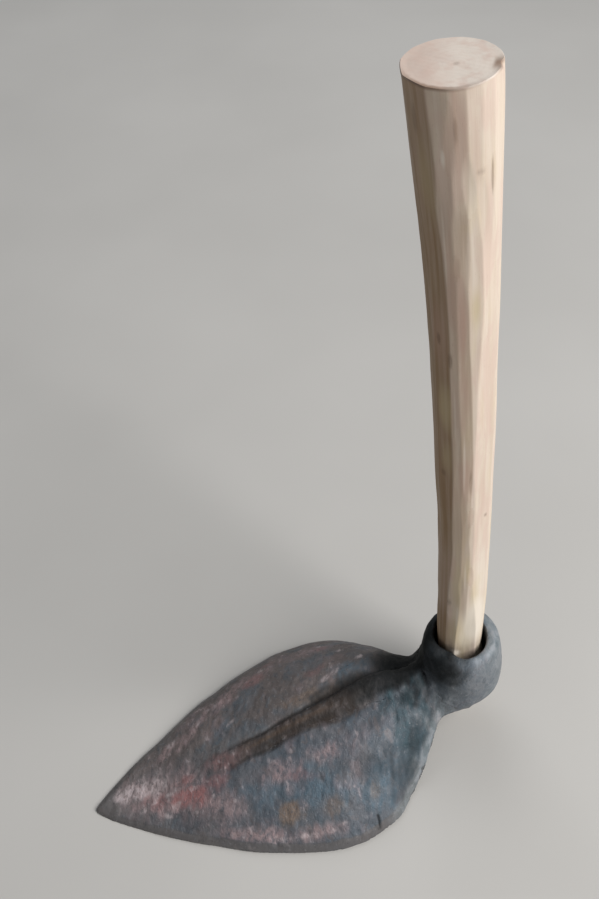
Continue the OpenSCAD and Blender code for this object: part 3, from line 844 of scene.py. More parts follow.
    # pale rust specks; the last one, on the web at (90, -25), is a painted highlight
    spots = patch(x, y, [(55, 32, 3, 2.2, 0, 1.0), (36, 27, 5, 2.5, 30, 0.9), (27, 24, 4, 2, 30, 0.8), (35, 62, 3, 2, 0, 0.8), (46, 47, 3, 2, 0, 0.8),
                         (-43, 22, 5, 2, 20, 0.7), (-129, 5, 6, 2.5, -10, 1.0), (-100, -22, 4, 1.6, -30, 0.9), (-88, 27, 5, 2.5, 40, 0.8), (-130, 2, 3, 2, 0, 1.3), (-118, 8, 4, 1.6, 30, 1.2), (-112, -2, 3, 1.6, 0, 1.2), (-104, 4, 4, 1.5, 20, 1.1), (-107, -10, 3, 1.5, 0, 1.1), (-97, -9, 3, 1.4, 0, 1.0), (-92, -17, 3, 1.5, 0, 0.9),
                         (-66, 33, 5, 1.5, 40, 0.7), (-10, 60, 4, 1.5, 10, 0.6), (-70, -12, 3, 1.3, -30, 0.8), (-30, -63, 9, 1.3, -18, 0.9),
                         (-16, -66, 7, 1.2, -14, 0.9), (90, -25, 8, 3.5, -60, 0.35)], 41)
    pale = np.maximum(0.7 * pale, np.minimum(spots, 1.2))
    pale = np.maximum(pale, patch(x, y, [(-121, 2.5, 13, 6, -6, 1.25), (-108, 1, 14, 8, -12, 1.15), (-101, 8, 8, 4, 35, 0.4)], 51))
    # painted highlights: along the near edge of the neck, on the neck's knobs, and on the eye's side toward the key
    # light
    shin = smoothstep(0.28, 0.20, u) * smoothstep(-0.02, 0.03, u) * (yy < 0)
    painted_highlight = 0.75 * shin * smoothstep(-6.5, -3.0, side + 1.2 * n2)
    painted_highlight = np.maximum(painted_highlight, patch(x, y, [(83.6, -7.5, 2.4, 6, -4, 0.22), (71, -8.5, 6, 2.6, 4, 0.14), (96, -24, 9, 5, -40, 0.4), (86, -33, 4, 9, 28, 0.9), (77, -24, 10, 3.0, -8, 0.25), (66, -46, 8, 3, 50, 0.6)], 71) * top)
    right = np.degrees(np.arctan2(b, a))
    painted_highlight = np.maximum(painted_highlight, 0.74 * ringed * smoothstep(-92, -48, right + 14 * n1) * smoothstep(75, 45, right) * smoothstep(18.5, 20.5, np.hypot(a, b)))
    teal = patch(x, y, [(82, -8, 11, 8, 0, 1.0), (76, -13, 17, 10, 15, 1.1), (66, -22, 14, 9, 20, 0.8), (84, -21, 12, 9, 30, 0.9), (70, -30, 18, 12, 50, 0.9), (58, -14, 14, 6, 10, 0.6)], 81) * (1 - 0.7 * ringed)
    edge = smoothstep(-4.6, -3.4, side + 0.9 * n2) * smoothstep(0.1, 0.17, u)
    tip = smoothstep(0.925, 0.955, u + 0.012 * n2)
    edge = np.maximum(edge, tip) * smoothstep(-0.6, 0.1, N[:, 2])
    under = smoothstep(0.0, -0.35, N[:, 2])
    return {"pink": pink * (1 - edge) * (1 - ringed), "red": red * (1 - edge) * (1 - ringed), "blue": blue * (1 - ringed), "tan": tan,
            "painted_shadow": painted_shadow, "groove_shade_and_dirt": groove * smoothstep(0.16, 0.24, u), "teal": teal, "painted_highlight": painted_highlight, "cool": smoothstep(-2, -14, yy + 3 * n1) * (1 - ringed) * (1 - 0.7 * smoothstep(0.62, 0.74, u)), "warm": smoothstep(6, 18, yy + 5 * n1) * (1 - ringed),
            "brown": brown, "shade_and_dirt": shade_and_dirt, "pale": pale * (1 - 0.7 * edge) * (1 - ringed), "edge": edge, "under": under, "ringed": ringed}


# ======================================================================
# Meshes
# ======================================================================

MM = 0.001


def add_mesh(name, P, faces, smooth=True):
    """A new object from points in millimetres and faces as index arrays (quads, triangles)."""
    mesh = bpy.data.meshes.new(name)
    faces = [np.asarray(f) for f in faces if len(f)]
    loops = np.concatenate([f.ravel() for f in faces])
    sizes = np.concatenate([np.full(len(f), f.shape[1]) for f in faces])
    mesh.vertices.add(len(P))
    mesh.vertices.foreach_set("co", (P * MM).astype(np.float32).ravel())
    mesh.loops.add(len(loops))
    mesh.loops.foreach_set("vertex_index", loops.astype(np.int32))
    mesh.polygons.add(len(sizes))
    starts = np.concatenate([[0], np.cumsum(sizes)[:-1]])
    mesh.polygons.foreach_set("loop_start", starts.astype(np.int32))
    mesh.update(calc_edges=True)
    mesh.validate()
    mesh.polygons.foreach_set("use_smooth", np.full(len(mesh.polygons), smooth))
    obj = bpy.data.objects.new(name, mesh)
    scene.collection.objects.link(obj)
    return obj


def paint(obj, name, values, domain="POINT"):
    values = np.asarray(values, np.float32)
    kind = "FLOAT_VECTOR" if values.ndim == 2 else "FLOAT"
    a = obj.data.attributes.new(name, kind, domain)
    a.data.foreach_set("vector" if values.ndim == 2 else "value", values.ravel())


def iron_piece(name, lo, hi, step, share, border=None):
    V, Q, N, skin = build(lo, hi, step, share, border)
    move = forge(V, N) * skin
    V = V + N * move[:, None]
    V[:, 2] = np.maximum(V[:, 2], 0.0)
    obj = add_mesh(name, V, [Q])
    obj.data.set_sharp_from_angle(angle=math.radians(62))
    for key, mask in stains(V, N).items():
        paint(obj, key, mask)
    x, y, z = V.T
    paint(obj, "spot", np.stack([0.95 * x - 0.31 * y, 0.31 * x + 0.95 * y, z], 1))
    return obj


E = EYE_X
blade = iron_piece("forged_blade", (-149.1, -82.3, -2.37), (E + 3.4, 82.3, 62.0), 0.98, blade_share)
spine = iron_piece("forged_rib", (-101.3, -16.3, 2.37), (E - 18, 16.3, 62.0), 0.7, rib_share, rib_border)
ring = iron_piece("forged_eye", (E - 46.3, -32.3, 24.3), (E + 28.3, 32.3, 90.0), 0.7, ring_share, ring_border)

P, quads, tris, flats = stick_mesh()
stick = add_mesh("whittled_handle", P, [quads, tris])


def wedge_half(h):
    return max(0.6, WEDGE_T / 2 * (1 - h / (WEDGE_LEN + WEDGE_PROUD) * 0.8))


def wedge_mesh():
    """The driven wedge: a split sliver, its head bruised by the hammer, its sides following the stick's round tail."""
    hs = np.concatenate([[0.0, 0.25, 0.6], np.arange(1.1, WEDGE_LEN, 0.7), [WEDGE_LEN]])
    t = np.linspace(-1, 1, 49)
    rows = []
    for h in hs:
        w = wedge_half(h)
        crush = 0.55 * (1 - min(1.0, h / 0.6)) ** 1.5
        split = 0.5 * bump(h, 0, 2.5)
        e = 0.10 * noise(t * 7, h / 13.0, 2.5) + 0.05 * noise(t * 19, h / 9.0, 5.5) - 0.09
        reach = np.sqrt(14.9 ** 2 - w * w) - crush - 0.25 - 0.3 * noise(h / 4.0, 3.3, 0.2) * (h < 4)
        lift = 0.35 * noise(t * 5, 0.5, 0.1) * max(0, 1 - h / 1.2)
        side = []
        for s in (-1, 1):
            side.append(np.stack([s * (w - crush - 0.03 + e + split * 0.1), t * reach, np.full(len(t), h) + lift], -1))
        rows.append(np.concatenate([side[0], side[1][::-1]]))
    A = np.array(rows)
    n = A.shape[1]
    m = len(t)
    V = A.reshape(-1, 3)
    base = TAIL_H - WEDGE_PROUD
    P = from_axis(V[:, 0], V[:, 1], V[:, 2] + base)
    i, j = np.meshgrid(np.arange(len(hs) - 1), np.arange(n), indexing="ij")
    j2 = (j + 1) % n
    side = np.stack([i * n + j, (i + 1) * n + j, (i + 1) * n + j2, i * n + j2], -1).reshape(-1, 4)
    k = np.arange(m - 1)
    low = np.stack([k, k + 1, n - 2 - k, n - 1 - k], 1)
    off = (len(hs) - 1) * n
    high = np.stack([off + k, off + n - 1 - k, off + n - 2 - k, off + k + 1], 1)
    return P, [side, low, high], V


def kerf_mesh():
    """What is cut from the stick's tail for the wedge: the same taper, run out past the tail's end and sides."""
    hs = np.array([-6.0, 0.0, 3.0, 8.0, 13.0, 18.0, 22.0, WEDGE_LEN])
    rows = []
    for h in hs:
        w = wedge_half(h) + 0.02
        rows.append([(-w, -19, h), (w, -19, h), (w, 19, h), (-w, 19, h)])
    A = np.array(rows).reshape(-1, 3)
    base = TAIL_H - WEDGE_PROUD
    P = from_axis(A[:, 0], A[:, 1], A[:, 2] + base)
    i, j = np.meshgrid(np.arange(len(hs) - 1), np.arange(4), indexing="ij")
    j2 = (j + 1) % 4
    side = np.stack([i * 4 + j, i * 4 + j2, (i + 1) * 4 + j2, (i + 1) * 4 + j], -1).reshape(-1, 4)
    off = (len(hs) - 1) * 4
    return P, [side, np.array([[3, 2, 1, 0]]), np.array([[off, off + 1, off + 2, off + 3]])]


def outward(obj):
    bm = bmesh.new()
    bm.from_mesh(obj.data)
    bmesh.ops.recalc_face_normals(bm, faces=bm.faces)
    bm.to_mesh(obj.data)
    bm.free()


# each flat of the stick catches its own tint from the knife's depth into the grain
tint_of = np.random.RandomState(8).rand(200)
face_flat = np.concatenate([flats[quads].max(1), flats[tris].max(1)])
paint(stick, "tint", tint_of[face_flat], "FACE")
outward(stick)
Pk, Fk = kerf_mesh()
kerf = add_mesh("kerf_cutter", Pk, Fk, False)
outward(kerf)
cut = stick.modifiers.new("kerf", "BOOLEAN")
cut.operation, cut.solver, cut.object = "DIFFERENCE", "EXACT", kerf
bpy.context.view_layer.update()
made = bpy.data.meshes.new_from_object(stick.evaluated_get(bpy.context.evaluated_depsgraph_get()))
stick.modifiers.clear()
stick.data = made
bpy.data.objects.remove(kerf)


def points_of(obj):
    co = np.zeros(len(obj.data.vertices) * 3, np.float32)
    obj.data.vertices.foreach_get("co", co)
    return co.reshape(-1, 3).astype(float) * 1000


def stick_marks():
    """The grain's own coordinates and the stick's colour masks, painted shade and highlight among them, one value a
    point of the stick.
    """
    P = points_of(stick)
    a, b, h = ring_axes(*P.T)
    ca, cb = stick_axis(h)
    a, b = a - ca, b - cb
    r = np.hypot(a, b)
    ph = np.degrees(np.arctan2(b, a)) - FACING
    ph = np.mod(ph + 180, 360) - 180
    true_h = h
    h = h + saw_tilt(a, b) * smoothstep(462, 487, h)
    end = (h > BUTT_H - 0.62).astype(float)
    paint(stick, "grain", np.stack([a, b, h], 1))
    paint(stick, "sawn", end)
    # painted shade along the front of the sawn end's chamfer and in the chip at its right
    edge = smoothstep(BUTT_H - 1.6, BUTT_H - 0.5, h) * smoothstep(17.4, 18.9, r + 0.5 * noise(a / 2, b / 2, 0.3))
    front = bump(ph, -25, 75) + 0.9 * bump(ph, 78, 26)
    chip = smoothstep(BUTT_H - 0.8, BUTT_H - 0.4, h) * smoothstep(15.4, 17.2, r) * bump(ph, 80, 22)
    paint(stick, "rim", np.clip(np.maximum(edge * front, chip), 0, 1))
    # browner on the flats turned from the key light: fully past the dark arris, fainter past the main arris and low
    # down between them
    g = noise(a / 7, b / 7, h / 70) + 0.5 * noise(a / 3, b / 3, h / 34)
    at_main = main_arris(h)
    skin = (0.42 - 0.2 * smoothstep(415, 450, h)) * smoothstep(at_main + 1.5, at_main - 1.5, ph + 1.5 * g) * smoothstep(112, 135, h + 9 * g)
    at_dark = dark_arris(h)
    skin = np.maximum(skin, smoothstep(at_dark + 3, at_dark - 4, ph + 3 * g) * smoothstep(-178, -150, ph + 10 * g))
    skin = np.maximum(skin, 0.42 * smoothstep(-9, -17, ph + 2 * g) * smoothstep(-60, -50, ph) * smoothstep(128, 104, h + 6 * g))
    skin = skin * (1 - 0.16 * smoothstep(410, 450, h)) * (1 - 0.30 * smoothstep(205, 165, h) * smoothstep(108, 132, h))
    paint(stick, "tan", skin)

    def cloud(places, wobble):
        out = np.zeros(len(P))
        for p0, h0, w, tall, s in places:
            d = np.mod(ph - p0 + 180, 360) - 180
            out = np.maximum(out, s * smoothstep(1.3, 0.2, np.sqrt((d / w) ** 2 + ((h - h0) / tall) ** 2) + wobble * g))
        return out

    paint(stick, "blush", cloud([(-1, 360, 9, 34, 1.0), (3, 320, 10, 26, 0.8), (6, 468, 10, 24, 0.8), (-2, 250, 9, 20, 0.5), (24, 335, 8, 22, 0.5),
                                 (26, 455, 9, 20, 0.5), (-16, 385, 7, 20, 0.5), (-45, 355, 16, 25, 0.7), (24, 200, 9, 22, 0.4), (60, 300, 14, 30, 0.3),
                                 (120, 380, 20, 40, 0.6), (-130, 300, 20, 40, 0.7), (160, 180, 20, 40, 0.6), (40, 230, 12, 26, 0.35)], 0.7))
    paint(stick, "straw", cloud([(20, 372, 11, 15, 1.0), (-42, 300, 16, 18, 0.9), (-40, 262, 14, 16, 0.7), (8, 168, 14, 18, 0.8), (28, 138, 16, 22, 0.8),
                                  (-14, 150, 12, 26, 0.6), (-46, 440, 18, 20, 0.5), (34, 300, 8, 20, 0.3),
                                 (-160, 240, 22, 50, 0.6), (100, 200, 22, 40, 0.6), (2, 98, 44, 28, 1.15), (60, 108, 30, 30, 0.5)], 0.7))
    spots = np.zeros(len(P))
    for ph0, hh, w, tall, s in [(-45, 350, 1.3, 4.0, 0.8), (-23, 338, 1.2, 5.0, 0.7), (-46, 250, 2.2, 3.2, 0.7), (12, 246, 1.0, 10, 0.5),
                                (52, 211, 1.2, 1.3, 0.8), (-33, 132, 1.8, 3.0, 0.6), (48, 442, 0.8, 10, 0.75), (30, 447, 2.4, 1.8, 0.4),
                                (10, 205, 0.8, 12, 0.35), (2, 468, 1.0, 6, 0.4), (-52, 470, 1.4, 7, 0.5), (140, 300, 2.4, 5, 0.9),
                                (-120, 360, 1.8, 4, 0.8), (-150, 210, 2.0, 5, 0.8), (100, 410, 1.6, 4, 0.7)]:
        d = np.mod(ph - ph0 + 180, 360) - 180
        q = np.sqrt((np.radians(d) * r / w) ** 2 + ((h - hh) / tall) ** 2) + 0.3 * g
        spots = np.maximum(spots, s * smoothstep(1.2, 0.5, q))
    paint(stick, "knot", spots)
    # pale marks: bare wood at the crushed splinter, a painted glint at (-15, 455), and painted light on the foot's lit
    # side at (16, 98) and (36, 112)
    d = np.mod(ph + 14 + 180, 360) - 180
    bare_and_highlight = smoothstep(1.3, 0.5, np.sqrt((np.radians(d) * r / 4.2) ** 2 + ((h - 80) / 4.0) ** 2) + 0.3 * g)
    for ph0, hh, w, tall, s in [(-15, 455, 0.9, 4.5, 0.8), (-17, 300, 0.6, 20, 0.4), (-1, 262, 0.7, 24, 0.45), (3, 160, 0.7, 16, 0.4), (-12, 118, 1.0, 14, 0.5),
                                (16, 400, 0.6, 30, 0.4), (-22, 410, 0.6, 24, 0.4), (16, 98, 7, 18, 0.6), (46, 150, 6, 40, 0.4), (36, 112, 11, 30, 1.0)]:
        d = np.mod(ph - ph0 + 180, 360) - 180
        q = np.sqrt((np.radians(d) * r / w) ** 2 + ((h - hh) / tall) ** 2) + 0.25 * g
        bare_and_highlight = np.maximum(bare_and_highlight, s * smoothstep(1.2, 0.4, q))
    paint(stick, "bare_and_highlight", bare_and_highlight)
    # painted shade on the stick where it goes into the eye, deeper on the side away from the light, and deeper still
    # inside the eye
    foot_shade = smoothstep(98, 82, h + 5 * g) * smoothstep(66, 78, h) * (0.5 - 0.3 * smoothstep(-10, 10, ph))
    eye_shade = smoothstep(66, 60, h)
    paint(stick, "foot_shade", np.maximum(foot_shade * smoothstep(0.35, 0.7, noise(a / 2, b / 2, h / 12) + 0.5), 0.7 * eye_shade))


stick_marks()
Pw, Fw, Lw = wedge_mesh()
wedge = add_mesh("split_wedge", Pw, Fw)
outward(wedge)
Lw = Lw.copy()
Lw[:, 2] += TAIL_H - WEDGE_PROUD
paint(wedge, "grain", Lw)
for piece in (stick, wedge):
    piece.data.polygons.foreach_set("use_smooth", np.ones(len(piece.data.polygons), bool))
wedge.data.set_sharp_from_angle(angle=math.radians(40))
stick.data.set_sharp_from_angle(angle=math.radians(50))


# ======================================================================
# Materials
# ======================================================================

def srgb(r, g, b):
    out = []
    for c in (r, g, b):
        c = c / 255
        out.append(c / 12.92 if c <= 0.04045 else ((c + 0.055) / 1.055) ** 2.4)
    return tuple(out) + (1.0,)


class Nodes:
    """Short hands for wiring one material."""

    def __init__(self, name):
        self.mat = bpy.data.materials.new(name)
        self.mat.use_nodes = True
        self.t = self.mat.node_tree
        self.t.nodes.clear()
        self.out = self.t.nodes.new("ShaderNodeOutputMaterial")
        self.bsdf = self.t.nodes.new("ShaderNodeBsdfPrincipled")
        self.t.links.new(self.bsdf.outputs[0], self.out.inputs["Surface"])

    def put(self, socket, value):
        if isinstance(value, bpy.types.NodeSocket):
            self.t.links.new(value, socket)
        else:
            socket.default_value = value

    def attr(self, name, vector=False):
        n = self.t.nodes.new("ShaderNodeAttribute")
        n.attribute_name = name
        return n.outputs["Vector" if vector else "Fac"]

    def math(self, op, a, b=None, c=None, clamp=False):
        n = self.t.nodes.new("ShaderNodeMath")
        n.operation, n.use_clamp = op, clamp
        for i, v in enumerate((a, b, c)):
            if v is not None:
                self.put(n.inputs[i], v)
        return n.outputs[0]

    def stretch(self, vec, sx, sy, sz, ox=0.0, oy=0.0, oz=0.0):
        n = self.t.nodes.new("ShaderNodeMapping")
        self.put(n.inputs["Vector"], vec)
        n.inputs["Scale"].default_value = (sx, sy, sz)
        n.inputs["Location"].default_value = (ox, oy, oz)
        return n.outputs[0]

    def noise(self, vec, scale=1.0, detail=4.0, rough=0.55, warp=0.0):
        n = self.t.nodes.new("ShaderNodeTexNoise")
        self.put(n.inputs["Vector"], vec)
        n.inputs["Scale"].default_value = scale
        n.inputs["Detail"].default_value = detail
        n.inputs["Roughness"].default_value = rough
        n.inputs["Distortion"].default_value = warp
        return n.outputs["Fac"]

    def cells(self, vec, scale=1.0, kind="F1", rand=1.0):
        n = self.t.nodes.new("ShaderNodeTexVoronoi")
        n.feature = kind
        self.put(n.inputs["Vector"], vec)
        n.inputs["Scale"].default_value = scale
        n.inputs["Randomness"].default_value = rand
        return n.outputs["Distance"]

    def span(self, v, a, b, c=0.0, d=1.0, smooth=True):
        n = self.t.nodes.new("ShaderNodeMapRange")
        n.interpolation_type = "SMOOTHSTEP" if smooth else "LINEAR"
        self.put(n.inputs["Value"], v)
        for key, val in (("From Min", a), ("From Max", b), ("To Min", c), ("To Max", d)):
            n.inputs[key].default_value = val
        return n.outputs["Result"]

    def mix(self, fac, a, b, mode="MIX"):
        n = self.t.nodes.new("ShaderNodeMix")
        n.data_type, n.blend_type = "RGBA", mode
        self.put(n.inputs[0], fac)
        self.put(n.inputs[6], a)
        self.put(n.inputs[7], b)
        return n.outputs[2]

    def bump(self, height, dist, strength=1.0, normal=None):
        n = self.t.nodes.new("ShaderNodeBump")
        n.inputs["Strength"].default_value = strength
        n.inputs["Distance"].default_value = dist
        self.put(n.inputs["Height"], height)
        if normal is not None:
            self.put(n.inputs["Normal"], normal)
        return n.outputs["Normal"]


def iron(name, seed, lift=1.0):
    """Old forged iron: mill-scale greys and blues, rust-pink and brown bloom, darker folds, rubbed edges; with painted
    shade and dirt in the grooves, painted shadow of the eye and handle, painted shade in the eye's hole, and painted
    highlights.
    """
    m = Nodes(name)
    at = m.stretch(m.attr("spot", True), 1, 1, 1, seed, 0, 0)
    broad = m.noise(m.stretch(at, 1 / 24, 1 / 32, 1 / 30), 1, 3, 0.5, 0.4)
    mid = m.noise(m.stretch(at, 1 / 6.0, 1 / 10, 1 / 9, 3, 1, 7), 1, 5, 0.62, 0.8)
    streak = m.noise(m.stretch(at, 1 / 2.8, 1 / 5.0, 1 / 4.6, 5, 2, 1), 1, 4, 0.62, 0.7)
    grit = m.noise(m.stretch(at, 1 / 1.1, 1 / 2.1, 1 / 1.8), 1, 5, 0.7)
    rag = m.math("ADD", m.math("MULTIPLY", mid, 0.6), m.math("MULTIPLY", streak, 0.5))
    base = m.mix(m.span(broad, 0.36, 0.64), srgb(98, 97, 100), srgb(116, 113, 113))
    base = m.mix(m.math("MULTIPLY", m.attr("cool"), 0.8), base, m.mix(m.span(broad, 0.36, 0.64), srgb(97, 107, 117), srgb(110, 114, 121)))
    base = m.mix(m.math("MULTIPLY", m.attr("warm"), 0.8), base, m.mix(m.span(broad, 0.36, 0.64), srgb(112, 104, 101), srgb(126, 116, 113)))
    base = m.mix(m.math("MULTIPLY", m.span(mid, 0.5, 0.68), 0.55), base, srgb(96, 105, 112))
    base = m.mix(m.math("MULTIPLY", m.span(mid, 0.47, 0.3), 0.55), base, srgb(122, 112, 110))
    w = m.math("MULTIPLY", m.attr("blue"), m.span(rag, 0.40, 0.66, 0.45, 0.92))
    base = m.mix(w, base, srgb(94, 115, 129))
    w = m.math("MULTIPLY", m.attr("pink"), m.span(rag, 0.42, 0.68, 0.25, 1.0))
    base = m.mix(w, base, srgb(178, 154, 154))
    w = m.math("MULTIPLY", m.attr("red"), m.span(streak, 0.3, 0.6, 0.3, 0.8))
    base = m.mix(w, base, srgb(164, 118, 117))
    # real tan patches, and the painted highlight along the rib's crest
    w = m.math("MULTIPLY", m.attr("tan"), m.span(grit, 0.3, 0.6, 0.35, 0.8))
    base = m.mix(w, base, srgb(144, 122, 104))
    w = m.math("MULTIPLY", m.attr("brown"), m.span(mid, 0.3, 0.6, 0.5, 0.9))
    base = m.mix(w, base, srgb(85, 72, 64))
    w = m.math("MULTIPLY", m.attr("ringed"), m.span(broad, 0.3, 0.6, 0.6, 0.95))
    cloud = m.noise(m.stretch(at, 1 / 7, 1 / 7, 1 / 12, 2, 9), 1, 4, 0.6, 0.8)
    skin = m.mix(m.span(cloud, 0.38, 0.62), srgb(112, 125, 136), srgb(150, 157, 165))
    skin = m.mix(m.span(mid, 0.56, 0.7, 0, 0.5), skin, srgb(140, 132, 136))
    base = m.mix(w, base, skin)
    base = m.mix(m.math("MULTIPLY", m.attr("edge"), 0.8), base, srgb(116, 112, 111))
    base = m.mix(m.math("MULTIPLY", m.attr("teal"), m.span(mid, 0.3, 0.6, 0.75, 1.0)), base, m.mix(m.span(mid, 0.42, 0.6), srgb(50, 72, 80), srgb(73, 95, 104)))
    # painted highlight colour
    base = m.mix(m.math("MULTIPLY", m.attr("painted_highlight"), m.span(mid, 0.35, 0.6, 0.7, 1.0)), base, m.mix(m.span(mid, 0.42, 0.6), srgb(142, 152, 156), srgb(166, 171, 176)))
    w = m.math("MULTIPLY", m.attr("pale"), m.span(streak, 0.38, 0.6, 0.15, 0.75))
    base = m.mix(w, base, srgb(212, 198, 199))
    base = m.mix(m.span(streak, 0.44, 0.26, 0, 0.42), base, srgb(58, 66, 72))
    plain = m.math("SUBTRACT", 1.0, m.math("MULTIPLY", m.attr("brown"), 0.6))
    base = m.mix(m.math("MULTIPLY", m.span(streak, 0.56, 0.72, 0, 0.25), plain), base, srgb(150, 154, 160))
    base = m.mix(m.math("MULTIPLY", m.span(grit, 0.59, 0.70, 0, 0.5), plain), base, srgb(176, 174, 176))
    base = m.mix(m.span(grit, 0.41, 0.30, 0, 0.6), base, srgb(52, 50, 52))
    # painted shade and shadow, with dirt: near-black grey
    w = m.math("MULTIPLY", m.attr("shade_and_dirt"), m.span(rag, 0.35, 0.65, 0.72, 0.95))
    base = m.mix(w, base, srgb(32, 35, 36))
    # painted shade and dirt in the grooves
    base = m.mix(m.math("MULTIPLY", m.attr("groove_shade_and_dirt"), 0.55), base, srgb(44, 36, 30))
    # painted deep shadow
    base = m.mix(m.math("MULTIPLY", m.attr("painted_shadow"), 0.93), base, srgb(13, 17, 17))
    base = m.mix(m.math("MULTIPLY", m.attr("under"), 0.6), base, srgb(78, 70, 64))
    if lift != 1.0:
        base = m.mix(1.0, base, (lift, lift, lift, 1), "MULTIPLY")
    m.put(m.bsdf.inputs["Base Color"], base)
    m.bsdf.inputs["Metallic"].default_value = 0.3
    rough = m.math("ADD", m.span(mid, 0.3, 0.7, 0.50, 0.66), m.math("MULTIPLY", m.attr("shade_and_dirt"), 0.18))
    rough = m.math("SUBTRACT", rough, m.math("MULTIPLY", m.attr("edge"), 0.06))
    m.put(m.bsdf.inputs["Roughness"], rough)
    m.bsdf.inputs["Specular IOR Level"].default_value = 0.4
    pits = m.cells(m.stretch(at, 1 / 1.5, 1 / 2.6, 1 / 1.6), 1, "F1")
    pits = m.span(pits, 0.0, 0.42)
    rel = m.math("ADD", m.math("MULTIPLY", grit, 0.55), m.math("MULTIPLY", streak, 0.9))
    rel = m.math("ADD", rel, m.math("MULTIPLY", pits, m.span(mid, 0.4, 0.65, 0.1, 0.55)))
    calm = m.math("SUBTRACT", 1.0, m.math("MULTIPLY", m.attr("edge"), 0.65))
    m.put(m.bsdf.inputs["Normal"], m.bump(m.math("MULTIPLY", rel, calm), 0.00030, 0.95))
    return m.mat


